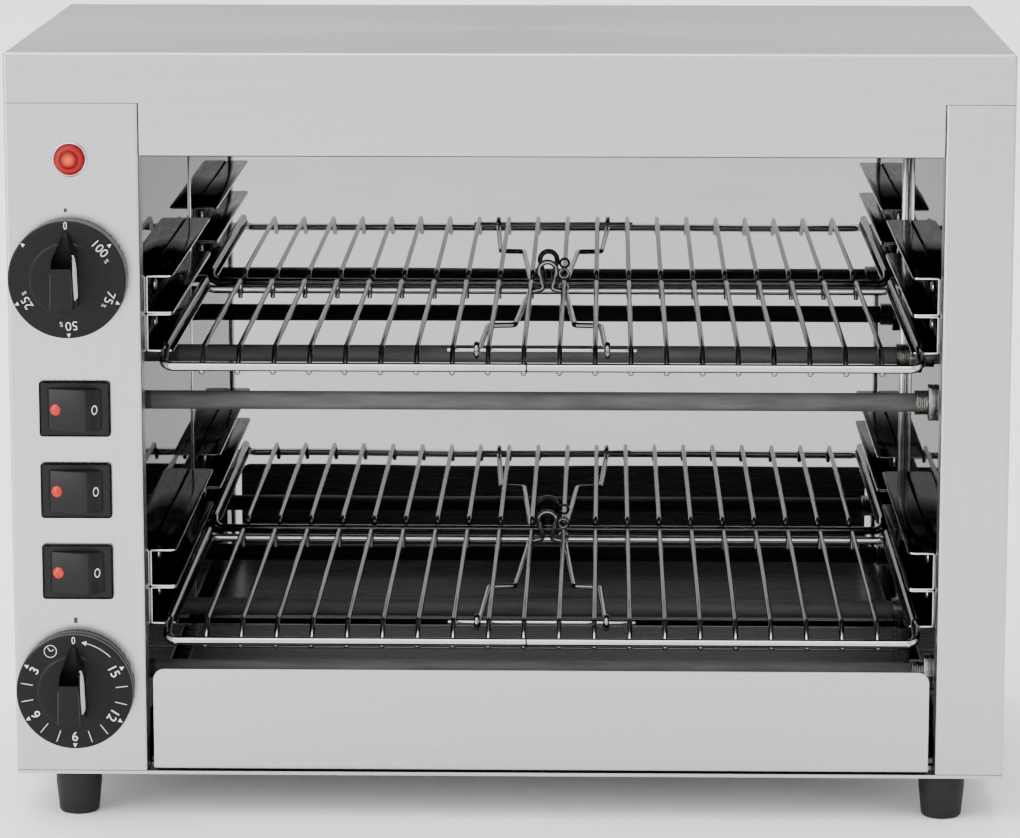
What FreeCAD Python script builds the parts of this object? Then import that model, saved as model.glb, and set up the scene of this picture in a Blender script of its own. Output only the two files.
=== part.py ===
import FreeCAD
import Part
import math
import os

# Clamp toaster with two wire racks, a commercial counter-top model in folded stainless sheet.
# Millimetres. X runs to the right, Y to the back, Z up. The feet stand on Z 0, and the origin
# is under the middle of the whole object. Depths are measured back from the cabinet's front.

# Cabinet
cabinet_width = 440.0
cabinet_depth = 240.0
cabinet_height = 323.0
foot_height = 20.0
sheet = 1.0
bend_radius = 1.5
seam = 0.3
left_column = 58.6
right_column = 30.4
column_return = 12.0
rear_flange = 15.0
cover_band = 21.8
fascia_drop = 23.5
fascia_return = 12.0
fascia_lip = 8.0
base_rim_height = 1.5
base_rim_width = 6.0
base_upstand = 12.0
wall_flange = 12.0
rear_lip_left = 1.2
rear_lip_right = 3.0
ceiling_drop = 18.0
ceiling_flange = 10.0
vent_length = 30.0
vent_width = 4.0
vent_pitch = 9.0
vent_count = 6
vent_drop = 33.0
vent_left = 14.0

# Heating elements, three pairs that run from wall to wall
tube_radius = 4.2
tube_hole_gap = 0.2
lowest_element = 36.5
front_element = 50.0
rear_element_gap = 62.0
bush_radius = 5.75
bush_reach = 5.3
bush_tail = 6.0
bush_collar = 2.0
nut_across_flats = 15.4
nut_thickness = 3.1
bead_radius = 3.2
bead_length = 4.0
pin_radius = 1.5
pin_length = 8.0
element_stub = 8.0
nut_gap = 0.2

# Rack guides, folded channels riveted to the side walls
guide_above_element = 25.1
guide_height = 17.2
guide_width = 12.0
guide_sheet = 0.8
guide_front = 31.0
guide_rear_gap = 18.5
guide_corner = 3.0
rivet_setback = 31.0
rivet_radius = 1.6
rivet_head_radius = 2.8
rivet_crown_radius = 1.7
rivet_head_height = 1.0

# Racks, welded from round wire
rack_gap = 0.1
frame_wire_radius = 2.0
rack_side_gap = 6.8
rack_front_play = 3.0
rack_back_play = 1.5
fold_front_run = 13.0
fold_back_run = 5.0
frame_corner = 5.0
frame_front_drop = 6.8
frame_back_drop = 4.8
grid_wire_radius = 1.2
grid_count = 20
grid_margin = 17.1
grid_fold_setback = 1.0
grid_tail = 0.7
grid_hook = 3.2
weld = 0.12

# Wire handle that folds flat under each rack
rod_radius = 1.0
rod_setback = 5.0
rod_wire_count = 6
rod_overhang = 2.4
handle_wire_radius = 1.3
eye_gap = 0.3
eye_pitches = 1.842
step_outer_pitches = 1.646
step_inner_pitches = 0.877
heel_pitches = 0.549
eye_turn = 235.0
step_setback = 84.0
step_slant = 1.5
handle_bend = 3.0
heel_gap = 0.4
heel_bend = 2.0
neck_half_width = 2.1
neck_rise = 1.4
neck_bend = 1.6
loop_side_gap = 1.2
loop_lift = 3.474

# Crumb tray
tray_gap = 0.3
tray_side_gap = 3.0
tray_front_height = 46.0
tray_wall_height = 12.0
tray_rear_gap = 7.0
tray_corner = 5.0

# Controls on the left column
control_x = 27.5
power_below_pilot = 51.7
timer_height = 40.0
knob_radius = 26.0
knob_gap = 1.2
knob_disc = 9.0
knob_boss_radius = 16.0
knob_boss_rise = 0.6
knob_skirt = 1.8
knob_chamfer = 0.9
knob_web = 2.4
knob_hub_radius = 6.5
grip_proud = 31.0
grip_tip = 20.5
grip_shoulder = 12.0
grip_tail = 10.9
grip_shoulder_half = 5.8
grip_tail_half = 6.7
grip_draft = 1.9
grip_slope_top = 7.0
timer_knob_groove = 0.8
shaft_radius = 3.0
shaft_flat = 2.2
shaft_gap = 0.06
bushing_radius = 5.0
hole_gap = 0.2
regulator_size = 38.0
regulator_depth = 30.0
timer_body_radius = 22.5
timer_body_depth = 27.0
shaft_into_body = 18.0
switch_x = 29.0
first_gap_ratio = 1.71
last_gap_ratio = 1.21
bezel_length = 31.5
bezel_height = 24.8
bezel_proud = 1.8
bezel_corner = 1.5
switch_body_length = 28.0
switch_body_height = 21.6
switch_body_depth = 24.0
window_length = 24.8
window_height = 19.1
window_depth = 13.5
rocker_gap = 0.25
rocker_pivot = 3.0
rocker_left_rise = 0.8
rocker_ridge_rise = 6.0
rocker_ridge_offset = 5.4
rocker_right_sink = 0.6
rocker_keel = 6.0
rocker_keel_half = 5.0
rocker_pin_radius = 1.2
rocker_pin_length = 1.2
pin_gap = 0.1
lens_offset = 8.6
lens_radius = 2.8
lens_rise = 0.9
lens_shoulder_radius = 2.0
lens_shoulder_rise = 0.6
lens_seat = 2.0
tab_width = 6.3
tab_thickness = 0.8
tab_length = 8.0
pilot_x = 28.5
pilot_below_cover = 24.7
pilot_ring_radius = 7.8
pilot_ring_proud = 1.4
pilot_lens_radius = 6.8
pilot_lens_proud = 4.6
pilot_lens_steps = 4
pilot_body_radius = 6.0
pilot_body_depth = 22.0

# Feet, mains inlet and fasteners
foot_setback = 12.5
foot_top_radius = 10.25
foot_bottom_radius = 9.0
foot_straight = 6.0
foot_edge = 1.5
foot_edge_break = 0.45
foot_recess_radius = 4.6
foot_recess_depth = 11.0
foot_screw_radius = 2.0
foot_screw_head_radius = 4.0
foot_screw_head = 3.0
foot_screw_reach = 5.0
screw_wall_gap = 0.2
gland_x = 30.0
gland_height = 32.0
gland_proud = 15.0
gland_flats = 20.0
gland_hex = 6.0
gland_radius = 8.0
gland_tip_radius = 6.4
gland_straight = 12.0
gland_bore = 4.2
gland_inside = 9.0
gland_nut = 4.0
block_length = 34.0
block_depth = 18.0
block_height = 16.0
block_poles = 3
block_pole_radius = 2.4
screw_radius = 1.7
screw_head_radius = 3.5
screw_head_height = 2.0
screw_crown_radius = 2.6
screw_reach = 6.0
screw_hole_gap = 0.15
panel_screw_inset = 8.0
panel_screw_margin = 28.0
panel_screw_rows = 3
cover_screw_pitch = 150.0
cover_screw_drop = 11.0

# Places worked out from the sizes above
base_z = foot_height
top_z = foot_height + cabinet_height
half_width = cabinet_width / 2
total_depth = grip_proud + cabinet_depth + gland_proud
front_y = grip_proud - total_depth / 2
opening_left = left_column - half_width
opening_right = half_width - right_column
opening_middle = (opening_left + opening_right) / 2
wall_left = opening_left - sheet
wall_right = opening_right + sheet
mirror_depth = cabinet_depth - 2 * sheet
band_z = top_z - cover_band
column_bottom = base_z + base_rim_height + seam
column_top = band_z - seam
fascia_z = band_z - fascia_drop
cover_under = top_z - sheet
ceiling_z = top_z - ceiling_drop
highest_z = ceiling_z - ceiling_flange - nut_across_flats / math.sqrt(3) - nut_gap
tray_z = base_z + 2 * sheet + tray_gap
tray_back = mirror_depth - sheet - tray_rear_gap
lowest_z = base_z + lowest_element
tier_pitch = (highest_z - lowest_z) / 2
rear_element = mirror_depth - rear_element_gap
element_levels = [lowest_z + tier * tier_pitch for tier in range(3)]
guide_levels = [level + guide_above_element for level in element_levels[:2]]
guide_back = mirror_depth - guide_rear_gap
knob_axis_x = control_x - half_width
pilot_centre_x = pilot_x - half_width
pilot_z = band_z - pilot_below_cover
power_z = pilot_z - power_below_pilot
timer_z = base_z + timer_height
switch_centre_x = switch_x - half_width
switch_room = power_z - timer_z - 2 * knob_radius - 3 * bezel_height
switch_gap = switch_room / (first_gap_ratio + 2 + last_gap_ratio)
switch_top = power_z - knob_radius - first_gap_ratio * switch_gap - bezel_height / 2
switch_levels = [switch_top - row * (bezel_height + switch_gap) for row in range(3)]
gland_centre_x = gland_x - half_width
foot_inset = right_column - 2 * sheet - foot_screw_radius - screw_wall_gap
gland_z = base_z + gland_height
side_to_side = FreeCAD.Vector(1, 0, 0)
front_to_back = FreeCAD.Vector(0, 1, 0)
upwards = FreeCAD.Vector(0, 0, 1)


def point(x, depth, z):
    return FreeCAD.Vector(x, front_y + depth, z)


def block(x_low, x_high, depth_low, depth_high, z_low, z_high):
    corner = point(x_low, depth_low, z_low)
    return Part.makeBox(x_high - x_low, depth_high - depth_low, z_high - z_low, corner)


def rod(start, end, radius):
    return Part.makeCylinder(radius, (end - start).Length, start, end - start)


def runs_along(edge, direction):
    return abs(edge.tangentAt(edge.FirstParameter).dot(direction)) > 0.99


def upright_edges(shape):
    return [edge for edge in shape.Edges if runs_along(edge, upwards)]


def top_edges(shape):
    level = shape.BoundBox.ZMax
    return [edge for edge in shape.Edges if level - edge.BoundBox.ZMin < seam]


def filleted_path(points, radii):
    """Straight runs through the points, with a tangent arc of the given radius at each corner."""
    edges = []
    start = points[0]
    for number, radius in enumerate(radii, 1):
        corner = points[number]
        back = (points[number - 1] - corner).normalize()
        ahead = (points[number + 1] - corner).normalize()
        half_angle = back.getAngle(ahead) / 2
        reach = radius / math.tan(half_angle)
        centre = corner + (back + ahead).normalize() * (radius / math.sin(half_angle))
        middle = centre + (corner - centre).normalize() * radius
        entry = corner + back * reach
        leave = corner + ahead * reach
        edges.append(Part.LineSegment(start, entry).toShape())
        edges.append(Part.Arc(entry, middle, leave).toShape())
        start = leave
    edges.append(Part.LineSegment(start, points[-1]).toShape())
    return edges


def folded_sheet(trace, thickness, radius, normal, run):
    """Sheet folded along a trace of its outer faces. The metal lies to the left of the trace,
    seen with the normal pointing at the eye, and the profile is extruded along the run."""
    directions = [(b - a).normalize() for a, b in zip(trace, trace[1:])]
    sides = [normal.cross(direction) for direction in directions]
    inner = [trace[0] + sides[0] * thickness]
    for number in range(1, len(sides)):
        both = sides[number - 1] + sides[number]
        stretch = thickness / (1 + sides[number - 1].dot(sides[number]))
        inner.append(trace[number] + both * stretch)
    inner.append(trace[-1] + sides[-1] * thickness)
    bends = len(trace) - 2
    edges = filleted_path(trace, [radius] * bends)
    edges.append(Part.LineSegment(trace[-1], inner[-1]).toShape())
    edges.extend(filleted_path(inner[::-1], [radius - thickness] * bends))
    edges.append(Part.LineSegment(inner[0], trace[0]).toShape())
    return Part.Face(Part.Wire(edges)).extrude(run)


def bent_wire(points, radii, wire_radius):
    """Round wire made of straight runs and arcs, each piece an exact cylinder or torus."""
    pieces = []
    for edge in filleted_path(points, radii):
        start = edge.valueAt(edge.FirstParameter)
        end = edge.valueAt(edge.LastParameter)
        if edge.Curve.TypeId == "Part::GeomLine":
            pieces.append(rod(start, end, wire_radius))
            continue
        tangent = edge.tangentAt(edge.FirstParameter)
        section = Part.Face(Part.Wire(Part.Circle(start, tangent, wire_radius).toShape()))
        turn = math.degrees(edge.Length / edge.Curve.Radius)
        axis = (start - edge.Curve.Center).cross(tangent)
        pieces.append(section.revolve(edge.Curve.Center, axis, turn))
    return pieces[0].multiFuse(pieces[1:]).removeSplitter()


def mitred_wire(points, wire_radius):
    """Round wire with sharp mitred corners, for wires that repeat many times."""
    runs = [Part.LineSegment(a, b).toShape() for a, b in zip(points, points[1:])]
    section = Part.Wire(Part.Circle(points[0], points[1] - points[0], wire_radius).toShape())
    sweep = Part.BRepOffsetAPI.MakePipeShell(Part.Wire(runs))
    sweep.setTransitionMode(1)
    sweep.add(section)
    sweep.build()
    sweep.makeSolid()
    return sweep.shape()


def turned(profile, origin, axis):
    """Solid of revolution from (radius, distance along the axis) points."""
    across = axis.cross(upwards if abs(axis.z) < 0.5 else side_to_side)
    outline = [origin + across * radius + axis * along for radius, along in profile]
    outline.append(outline[0])
    return Part.Face(Part.makePolygon(outline)).revolve(origin, axis, 360)


def hexagon(origin, axis, across_flats, thickness):
    corner_radius = across_flats / math.sqrt(3)
    across = axis.cross(upwards).normalize()
    corners = []
    for number in range(7):
        turn = FreeCAD.Rotation(axis, 60 * number + 30)
        corners.append(origin + turn.multVec(across) * corner_radius)
    return Part.Face(Part.makePolygon(corners)).extrude(axis * thickness)


def mirrored(shape):
    """The same shape on the other side of the opening's middle."""
    return shape.mirror(point(opening_middle, 0, 0), side_to_side)


def raised(shape, height):
    copy = shape.copy()
    copy.translate(upwards * height)
    return copy


# Cabinet shells

def panel_screw_places():
    low = column_bottom + panel_screw_margin
    high = column_top - panel_screw_margin
    step = (high - low) / (panel_screw_rows - 1)
    rows = [low + step * row for row in range(panel_screw_rows)]
    edge = half_width - panel_screw_inset
    return [(side * edge, row) for side in (-1, 1) for row in rows]


def cover_screw_places():
    height = top_z - cover_screw_drop
    return [(cover_screw_pitch * number, height) for number in (-1, 0, 1)]


def screw_hole(x, z):
    radius = screw_radius + screw_hole_gap
    start = point(x, mirror_depth - screw_reach, z)
    return rod(start, start + front_to_back * (screw_reach + 4 * sheet), radius)


def foot_places():
    depths = (foot_setback, cabinet_depth - foot_setback)
    edge = half_width - foot_inset
    return [(side * edge, depth) for side in (-1, 1) for depth in depths]


def top_cover():
    outer = block(-half_width, half_width, 0, cabinet_depth, band_z, top_z)
    outer = outer.makeFillet(bend_radius, upright_edges(outer) + top_edges(outer))
    inner = block(sheet - half_width, half_width - sheet, sheet, cabinet_depth - sheet,
                  band_z - cover_band, cover_under)
    inner = inner.makeFillet(bend_radius - sheet, upright_edges(inner) + top_edges(inner))
    shell = outer.cut(inner)
    left = opening_left + seam
    trace = [
        point(left, 0, band_z + cover_band / 2),
        point(left, 0, fascia_z),
        point(left, fascia_return, fascia_z),
        point(left, fascia_return, fascia_z + fascia_lip),
    ]
    run = side_to_side * (opening_right - seam - left)
    fascia = folded_sheet(trace, sheet, bend_radius, side_to_side, run)
    shell = shell.fuse(fascia)
    for x, z in cover_screw_places():
        shell = shell.cut(screw_hole(x, z))
    return shell.removeSplitter()


def control_cuts():
    """Holes in the left column for the lamp, the two bushings and the three switches."""
    cuts = []
    for x, z, radius in (
        (pilot_centre_x, pilot_z, pilot_body_radius + hole_gap),
        (knob_axis_x, power_z, bushing_radius + hole_gap),
        (knob_axis_x, timer_z, bushing_radius + hole_gap),
    ):
        cuts.append(rod(point(x, -sheet, z), point(x, 2 * sheet, z), radius))
    half_length = switch_body_length / 2 + hole_gap
    half_height = switch_body_height / 2 + hole_gap
    for z in switch_levels:
        cuts.append(block(switch_centre_x - half_length, switch_centre_x + half_length,
                          -sheet, 2 * sheet, z - half_height, z + half_height))
    return cuts


def side_panel(side, opening_edge):
    """Side wall with the front column and its return folded from one sheet."""
    outer = side * half_width
    trace = [
        point(outer - side * rear_flange, mirror_depth, column_bottom),
        point(outer, mirror_depth, column_bottom),
        point(outer, 0, column_bottom),
        point(opening_edge, 0, column_bottom),
        point(opening_edge, column_return, column_bottom),
    ]
    run = upwards * (column_top - column_bottom)
    panel = folded_sheet(trace, sheet, bend_radius, upwards * -side, run)
    for x, z in panel_screw_places():
        panel = panel.cut(screw_hole(x, z))
    return panel


def left_side_panel():
    panel = side_panel(-1, opening_left)
    for cut in control_cuts():
        panel = panel.cut(cut)
    return panel


def base_pan():
    plate = block(-half_width, half_width, 0, cabinet_depth, base_z, base_z + base_rim_height)
    plate = plate.makeFillet(bend_radius, upright_edges(plate))
    plate = plate.cut(block(base_rim_width - half_width, half_width - base_rim_width,
                            base_rim_width, cabinet_depth - base_rim_width,
                            base_z + sheet, base_z + 2 * base_rim_height))
    inside = half_width - sheet
    flange_front = base_rim_width + 2 * sheet
    flange_back = mirror_depth - rear_flange
    top = base_z + sheet + base_upstand
    parts = [
        block(-inside, sheet - inside, flange_front, flange_back, base_z, top),
        block(inside - sheet, inside, flange_front, flange_back, base_z, top),
        block(rear_flange + sheet - half_width, half_width - rear_flange - sheet,
              mirror_depth - sheet, mirror_depth, base_z, top),
    ]
    pan = plate.multiFuse(parts)
    for x, depth in foot_places():
        low = point(x, depth, base_z - sheet)
        pan = pan.cut(rod(low, low + upwards * 4 * sheet, foot_screw_radius + hole_gap))
    return pan.removeSplitter()


def back_panel():
    """Flat polished panel that closes the back and is the cavity's mirror."""
    half = half_width - sheet - bend_radius
    rear = mirror_depth + sheet
    panel = block(-half, half, mirror_depth, rear, column_bottom, cover_under - bend_radius)
    for x, z in panel_screw_places() + cover_screw_places():
        panel = panel.cut(screw_hole(x, z))
    gland_start = point(gland_centre_x, mirror_depth - sheet, gland_z)
    panel = panel.cut(rod(gland_start, gland_start + front_to_back * 3 * sheet,
                          gland_radius + hole_gap))
    vent_x = vent_left - half_width
    for row in range(vent_count):
        z = top_z - vent_drop - row * vent_pitch
        panel = panel.cut(block(vent_x, vent_x + vent_length, mirror_depth - sheet,
                                mirror_depth + 2 * sheet, z - vent_width, z))
    return panel


def rivet_places(level):
    depths = (guide_front + rivet_setback, guide_back - rivet_setback)
    rows = (level + guide_height / 2, level + guide_height * 3 / 2)
    return [(depth, row) for depth in depths for row in rows]


def inner_wall(cavity_face, outward, lip):
    """Polished side wall of the cavity, with the flanges that carry the cover and the tray."""
    back_face = cavity_face + outward * sheet
    back = mirror_depth
    upstand_front = back - sheet
    floor = base_z + sheet
    rim = base_z + base_rim_height
    behind_return = column_return + 2 * sheet

    def slab(x_a, x_b, depth_a, depth_b, z_a, z_b):
        return block(min(x_a, x_b), max(x_a, x_b), depth_a, depth_b, z_a, z_b)

    wall = slab(cavity_face, back_face, sheet + bend_radius, upstand_front,
                rim, cover_under - sheet)
    foot = slab(back_face, cavity_face - outward * wall_flange, behind_return,
                cabinet_depth - base_rim_width - seam, floor, floor + sheet)
    head = slab(cavity_face, back_face + outward * wall_flange, behind_return,
                upstand_front, cover_under - sheet, cover_under)
    rear = slab(back_face, cavity_face - outward * lip, upstand_front, back,
                floor + base_upstand, ceiling_z)
    return wall.multiFuse([foot, head, rear])


def inner_wall_left():
    wall = inner_wall(wall_left, -1, rear_lip_left)
    for cut in wall_cuts(wall_left, -1, tube_radius + tube_hole_gap):
        wall = wall.cut(cut)
    return wall.removeSplitter()


def inner_wall_right():
    wall = inner_wall(wall_right, 1, rear_lip_right)
    for cut in wall_cuts(wall_right, 1, bush_radius + tube_hole_gap):
        wall = wall.cut(cut)
    return wall.removeSplitter()


def wall_cuts(cavity_face, outward, element_hole):
    start_x = cavity_face - outward * 2 * sheet
    end_x = cavity_face + outward * 3 * sheet
    cuts = []
    for level in guide_levels:
        for depth, z in rivet_places(level):
            cuts.append(rod(point(start_x, depth, z), point(end_x, depth, z), rivet_radius))
    for depth, z in element_places():
        cuts.append(rod(point(start_x, depth, z), point(end_x, depth, z), element_hole))
    return cuts


def cavity_ceiling():
    front = fascia_return + 2 * sheet
    top = ceiling_z
    trace = [
        point(wall_left, front, top - ceiling_flange),
        point(wall_left, front, top),
        point(wall_right, front, top),
        point(wall_right, front, top - ceiling_flange),
    ]
    run = front_to_back * (mirror_depth - 2 * sheet - front)
    return folded_sheet(trace, sheet, bend_radius, front_to_back, run)


# Rack guides

def guide_channel(level):
    """Left guide: a channel open to the cavity, with its two free corners rounded."""
    tip = wall_left + guide_width
    trace = [
        point(tip, guide_front, level),
        point(wall_left, guide_front, level),
        point(wall_left, guide_front, level + guide_height),
        point(tip, guide_front, level + guide_height),
    ]
    run = front_to_back * (guide_back - guide_front)
    channel = folded_sheet(trace, guide_sheet, guide_sheet + seam, front_to_back, run)
    plan = block(wall_left, tip, guide_front, guide_back, level, level + guide_height)
    free = [edge for edge in upright_edges(plan) if edge.BoundBox.XMin > wall_left + seam]
    channel = channel.common(plan.makeFillet(guide_corner, free))
    for depth, z in rivet_places(level):
        if level < z < level + guide_height:
            start = point(wall_left - sheet, depth, z)
            channel = channel.cut(rod(start, start + side_to_side * 3 * sheet, rivet_radius))
    return channel


def rivet(depth, z):
    """Left wall rivet: a low dome on the guide's web and a set tail behind the wall."""
    origin = point(wall_left, depth, z)
    head = guide_sheet + rivet_head_height
    profile = [
        (0, head),
        (rivet_crown_radius, head),
        (rivet_head_radius, guide_sheet),
        (rivet_radius, guide_sheet),
        (rivet_radius, -sheet),
        (rivet_head_radius, -sheet),
        (rivet_head_radius, -sheet - rivet_head_height),
        (0, -sheet - rivet_head_height),
    ]
    return turned(profile, origin, side_to_side)


def guide_rivets():
    left = [rivet(depth, z) for level in guide_levels for depth, z in rivet_places(level)]
    right = [mirrored(piece) for piece in left]
    return Part.makeCompound(left + right)


# Heating elements

def element_places():
    return [(depth, z) for z in element_levels for depth in (front_element, rear_element)]


def heating_element(depth, z):
    """Sheathed tube with a ceramic bead and a terminal pin at each end."""
    left = wall_left - sheet - element_stub
    length = wall_right + sheet + element_stub - left
    profile = [
        (0, -bead_length - pin_length),
        (pin_radius, -bead_length - pin_length),
        (pin_radius, -bead_length),
        (bead_radius, -bead_length),
        (bead_radius, 0),
        (tube_radius, 0),
        (tube_radius, length),
        (bead_radius, length),
        (bead_radius, length + bead_length),
        (pin_radius, length + bead_length),
        (pin_radius, length + bead_length + pin_length),
        (0, length + bead_length + pin_length),
    ]
    return turned(profile, point(left, depth, z), side_to_side)


def element_bushes():
    """Threaded bushes round the right end of each tube, with a collar behind the wall."""
    bushes = []
    collar = sheet + bush_collar
    for depth, z in element_places():
        profile = [
            (tube_radius, -nut_thickness - bush_reach),
            (bush_radius, -nut_thickness - bush_reach),
            (bush_radius, sheet),
            (nut_across_flats / 2, sheet),
            (nut_across_flats / 2, collar),
            (bush_radius, collar),
            (bush_radius, bush_tail),
            (tube_radius, bush_tail),
        ]
        bushes.append(turned(profile, point(wall_right, depth, z), side_to_side))
    return Part.makeCompound(bushes)


def element_nuts():
    nuts = []
    for depth, z in element_places():
        start = point(wall_right - nut_thickness, depth, z)
        nut = hexagon(start, side_to_side, nut_across_flats, nut_thickness)
        end = start + side_to_side * nut_thickness
        nuts.append(nut.cut(rod(start, end, bush_radius)))
    return Part.makeCompound(nuts)


# Racks, drawn for the lower tier and raised for the upper one

rack_side_z = guide_levels[0] + guide_sheet + rack_gap + frame_wire_radius
rack_front_z = rack_side_z - frame_front_drop
rack_back_z = rack_side_z - frame_back_drop
frame_half_width = (wall_right - wall_left) / 2 - rack_side_gap - frame_wire_radius
frame_front_bend = guide_front - rack_front_play
frame_back_bend = guide_back + rack_back_play
frame_front = frame_front_bend - fold_front_run
frame_back = frame_back_bend + fold_back_run
grid_low = opening_middle - frame_half_width + grid_margin
grid_pitch = 2 * (frame_half_width - grid_margin) / (grid_count - 1)
grid_seat = frame_wire_radius + grid_wire_radius - weld
grid_front_bend = frame_front_bend + grid_fold_setback
hook_depth = frame_back - grid_seat
rod_depth = grid_front_bend + rod_setback
rod_first_wire = (grid_count - rod_wire_count) // 2
rod_last_wire = rod_first_wire + rod_wire_count - 1
rod_z = rack_side_z - grid_wire_radius - rod_radius + weld
eye_radius = rod_radius + eye_gap + handle_wire_radius
handle_z = rod_z - eye_radius
handle_plane = hook_depth - grid_wire_radius - heel_gap - handle_wire_radius
loop_radius = grid_pitch / 2 - grid_wire_radius - handle_wire_radius - loop_side_gap
loop_rise = loop_radius + loop_lift
eye_half_spacing = grid_pitch * eye_pitches
step_outer = grid_pitch * step_outer_pitches
step_inner = grid_pitch * step_inner_pitches
heel_half_spacing = grid_pitch * heel_pitches


def rack_frame():
    """Closed loop of thick wire, folded down at its front and back so that it drops in place
    between the ends of the guides."""
    side_x = opening_middle + frame_half_width
    points = [
        point(opening_middle, frame_front, rack_front_z),
        point(side_x, frame_front, rack_front_z),
        point(side_x, frame_front_bend, rack_side_z),
        point(side_x, frame_back_bend, rack_side_z),
        point(side_x, frame_back, rack_back_z),
        point(opening_middle, frame_back, rack_back_z),
    ]
    fold = frame_wire_radius + weld
    radii = [frame_corner, fold, fold, frame_corner]
    right = bent_wire(points, radii, frame_wire_radius)
    return right.fuse(mirrored(right)).removeSplitter()


def grid_x(number):
    return grid_low + grid_pitch * number


def rack_grid():
    """Cross wires: the front ends slant down under the front run, the back ends hook down."""
    run = grid_front_bend - frame_front
    reach = math.hypot(run, frame_front_drop)
    slope = math.atan2(frame_front_drop, run) + math.asin(grid_seat / reach)
    tail = math.sqrt(reach ** 2 - grid_seat ** 2) + grid_tail
    wires = []
    for number in range(grid_count):
        x = grid_x(number)
        wires.append(mitred_wire([
            point(x, grid_front_bend - tail * math.cos(slope),
                  rack_side_z - tail * math.sin(slope)),
            point(x, grid_front_bend, rack_side_z),
            point(x, hook_depth, rack_side_z),
            point(x, hook_depth, rack_back_z - grid_hook),
        ], grid_wire_radius))
    return Part.makeCompound(wires)


def rack_pivot_rod():
    start = point(grid_x(rod_first_wire) - rod_overhang, rod_depth, rod_z)
    end = point(grid_x(rod_last_wire) + rod_overhang, rod_depth, rod_z)
    return rod(start, end, rod_radius)


def rack_handle():
    """One length of spring wire: an eye round the rod at each end, stepped legs, and an
    upright loop at the far end that stands between two cross wires."""
    middle = opening_middle
    plane = handle_plane
    loop_z = handle_z + loop_rise
    neck = FreeCAD.Vector(neck_half_width, 0, handle_z + neck_rise - loop_z)
    lean = math.acos(loop_radius / neck.Length) - math.atan2(-neck.z, neck.x)
    touch = point(middle + loop_radius * math.cos(lean), plane,
                  loop_z + loop_radius * math.sin(lean))
    leg = bent_wire([
        point(middle + eye_half_spacing, rod_depth, handle_z),
        point(middle + step_outer, rod_depth + step_setback, handle_z),
        point(middle + step_inner, rod_depth + step_setback + step_slant, handle_z),
        point(middle + heel_half_spacing, plane, handle_z),
        point(middle + neck_half_width, plane, handle_z + neck_rise),
        touch,
    ], [handle_bend, handle_bend, heel_bend, neck_bend], handle_wire_radius)
    eye_start = point(middle + eye_half_spacing, rod_depth, handle_z)
    eye_centre = point(middle + eye_half_spacing, rod_depth, rod_z)
    section = Part.Face(Part.Wire(
        Part.Circle(eye_start, front_to_back, handle_wire_radius).toShape()))
    eye = section.revolve(eye_centre, side_to_side * -1, eye_turn)
    crown = Part.Face(Part.Wire(Part.Circle(
        touch, touch.sub(point(middle, plane, loop_z)).cross(front_to_back),
        handle_wire_radius).toShape()))
    loop = crown.revolve(point(middle, plane, loop_z), front_to_back * -1,
                         90 - math.degrees(lean))
    right = leg.multiFuse([eye, loop])
    left = right.mirror(point(middle, 0, 0), side_to_side)
    return right.fuse(left).removeSplitter()


# Crumb tray

def crumb_tray():
    """Shallow tray whose front is folded up into the plate that closes the opening."""
    left = opening_left + tray_side_gap
    right = opening_right - tray_side_gap
    front_top = tray_z + tray_front_height
    trace = [
        point(left, tray_back, tray_z + tray_wall_height),
        point(left, tray_back, tray_z),
        point(left, 0, tray_z),
        point(left, 0, front_top),
    ]
    run = side_to_side * (right - left)
    tray = folded_sheet(trace, sheet, bend_radius, side_to_side * -1, run)
    plate = block(left, right, -sheet, 2 * sheet, tray_z, front_top)
    corners = [edge for edge in top_edges(plate) if runs_along(edge, front_to_back)]
    plate = plate.makeFillet(tray_corner, corners)
    rest = block(left, right, 2 * sheet, tray_back + sheet, tray_z, front_top)
    tray = tray.common(plate.fuse(rest))
    side_top = tray_z + tray_wall_height
    walls = [
        block(left, left + sheet, bend_radius, tray_back - bend_radius, tray_z, side_top),
        block(right - sheet, right, bend_radius, tray_back - bend_radius, tray_z, side_top),
    ]
    return tray.multiFuse(walls).removeSplitter()


# Controls

def knob(z, groove):
    """Moulded knob: hollow skirt with a hub, a raised middle and a pointer grip."""
    origin = point(knob_axis_x, 0, z)
    outwards = front_to_back * -1
    face = knob_gap + knob_disc
    web = face - knob_web
    half_skirt = knob_gap + knob_disc / 2
    profile = [
        (0, face + knob_boss_rise),
        (knob_boss_radius, face + knob_boss_rise),
        (knob_boss_radius + knob_boss_rise, face),
        (knob_radius - 2 * knob_chamfer, face),
        (knob_radius - knob_chamfer / 2, face - knob_chamfer),
    ]
    if groove:
        profile.extend([
            (knob_radius - knob_chamfer / 2, half_skirt + groove),
            (knob_radius - knob_chamfer / 2 - groove, half_skirt),
            (knob_radius, half_skirt - groove),
        ])
    profile.extend([
        (knob_radius, knob_gap),
        (knob_radius - knob_skirt, knob_gap),
        (knob_radius - knob_skirt, web),
        (knob_hub_radius, web),
        (knob_hub_radius, knob_gap),
        (0, knob_gap),
    ])
    body = turned(profile, origin, outwards)
    body = body.fuse(knob_grip(z, face))
    hub_bore = shaft(z, web)
    return body.cut(hub_bore).removeSplitter()


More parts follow.
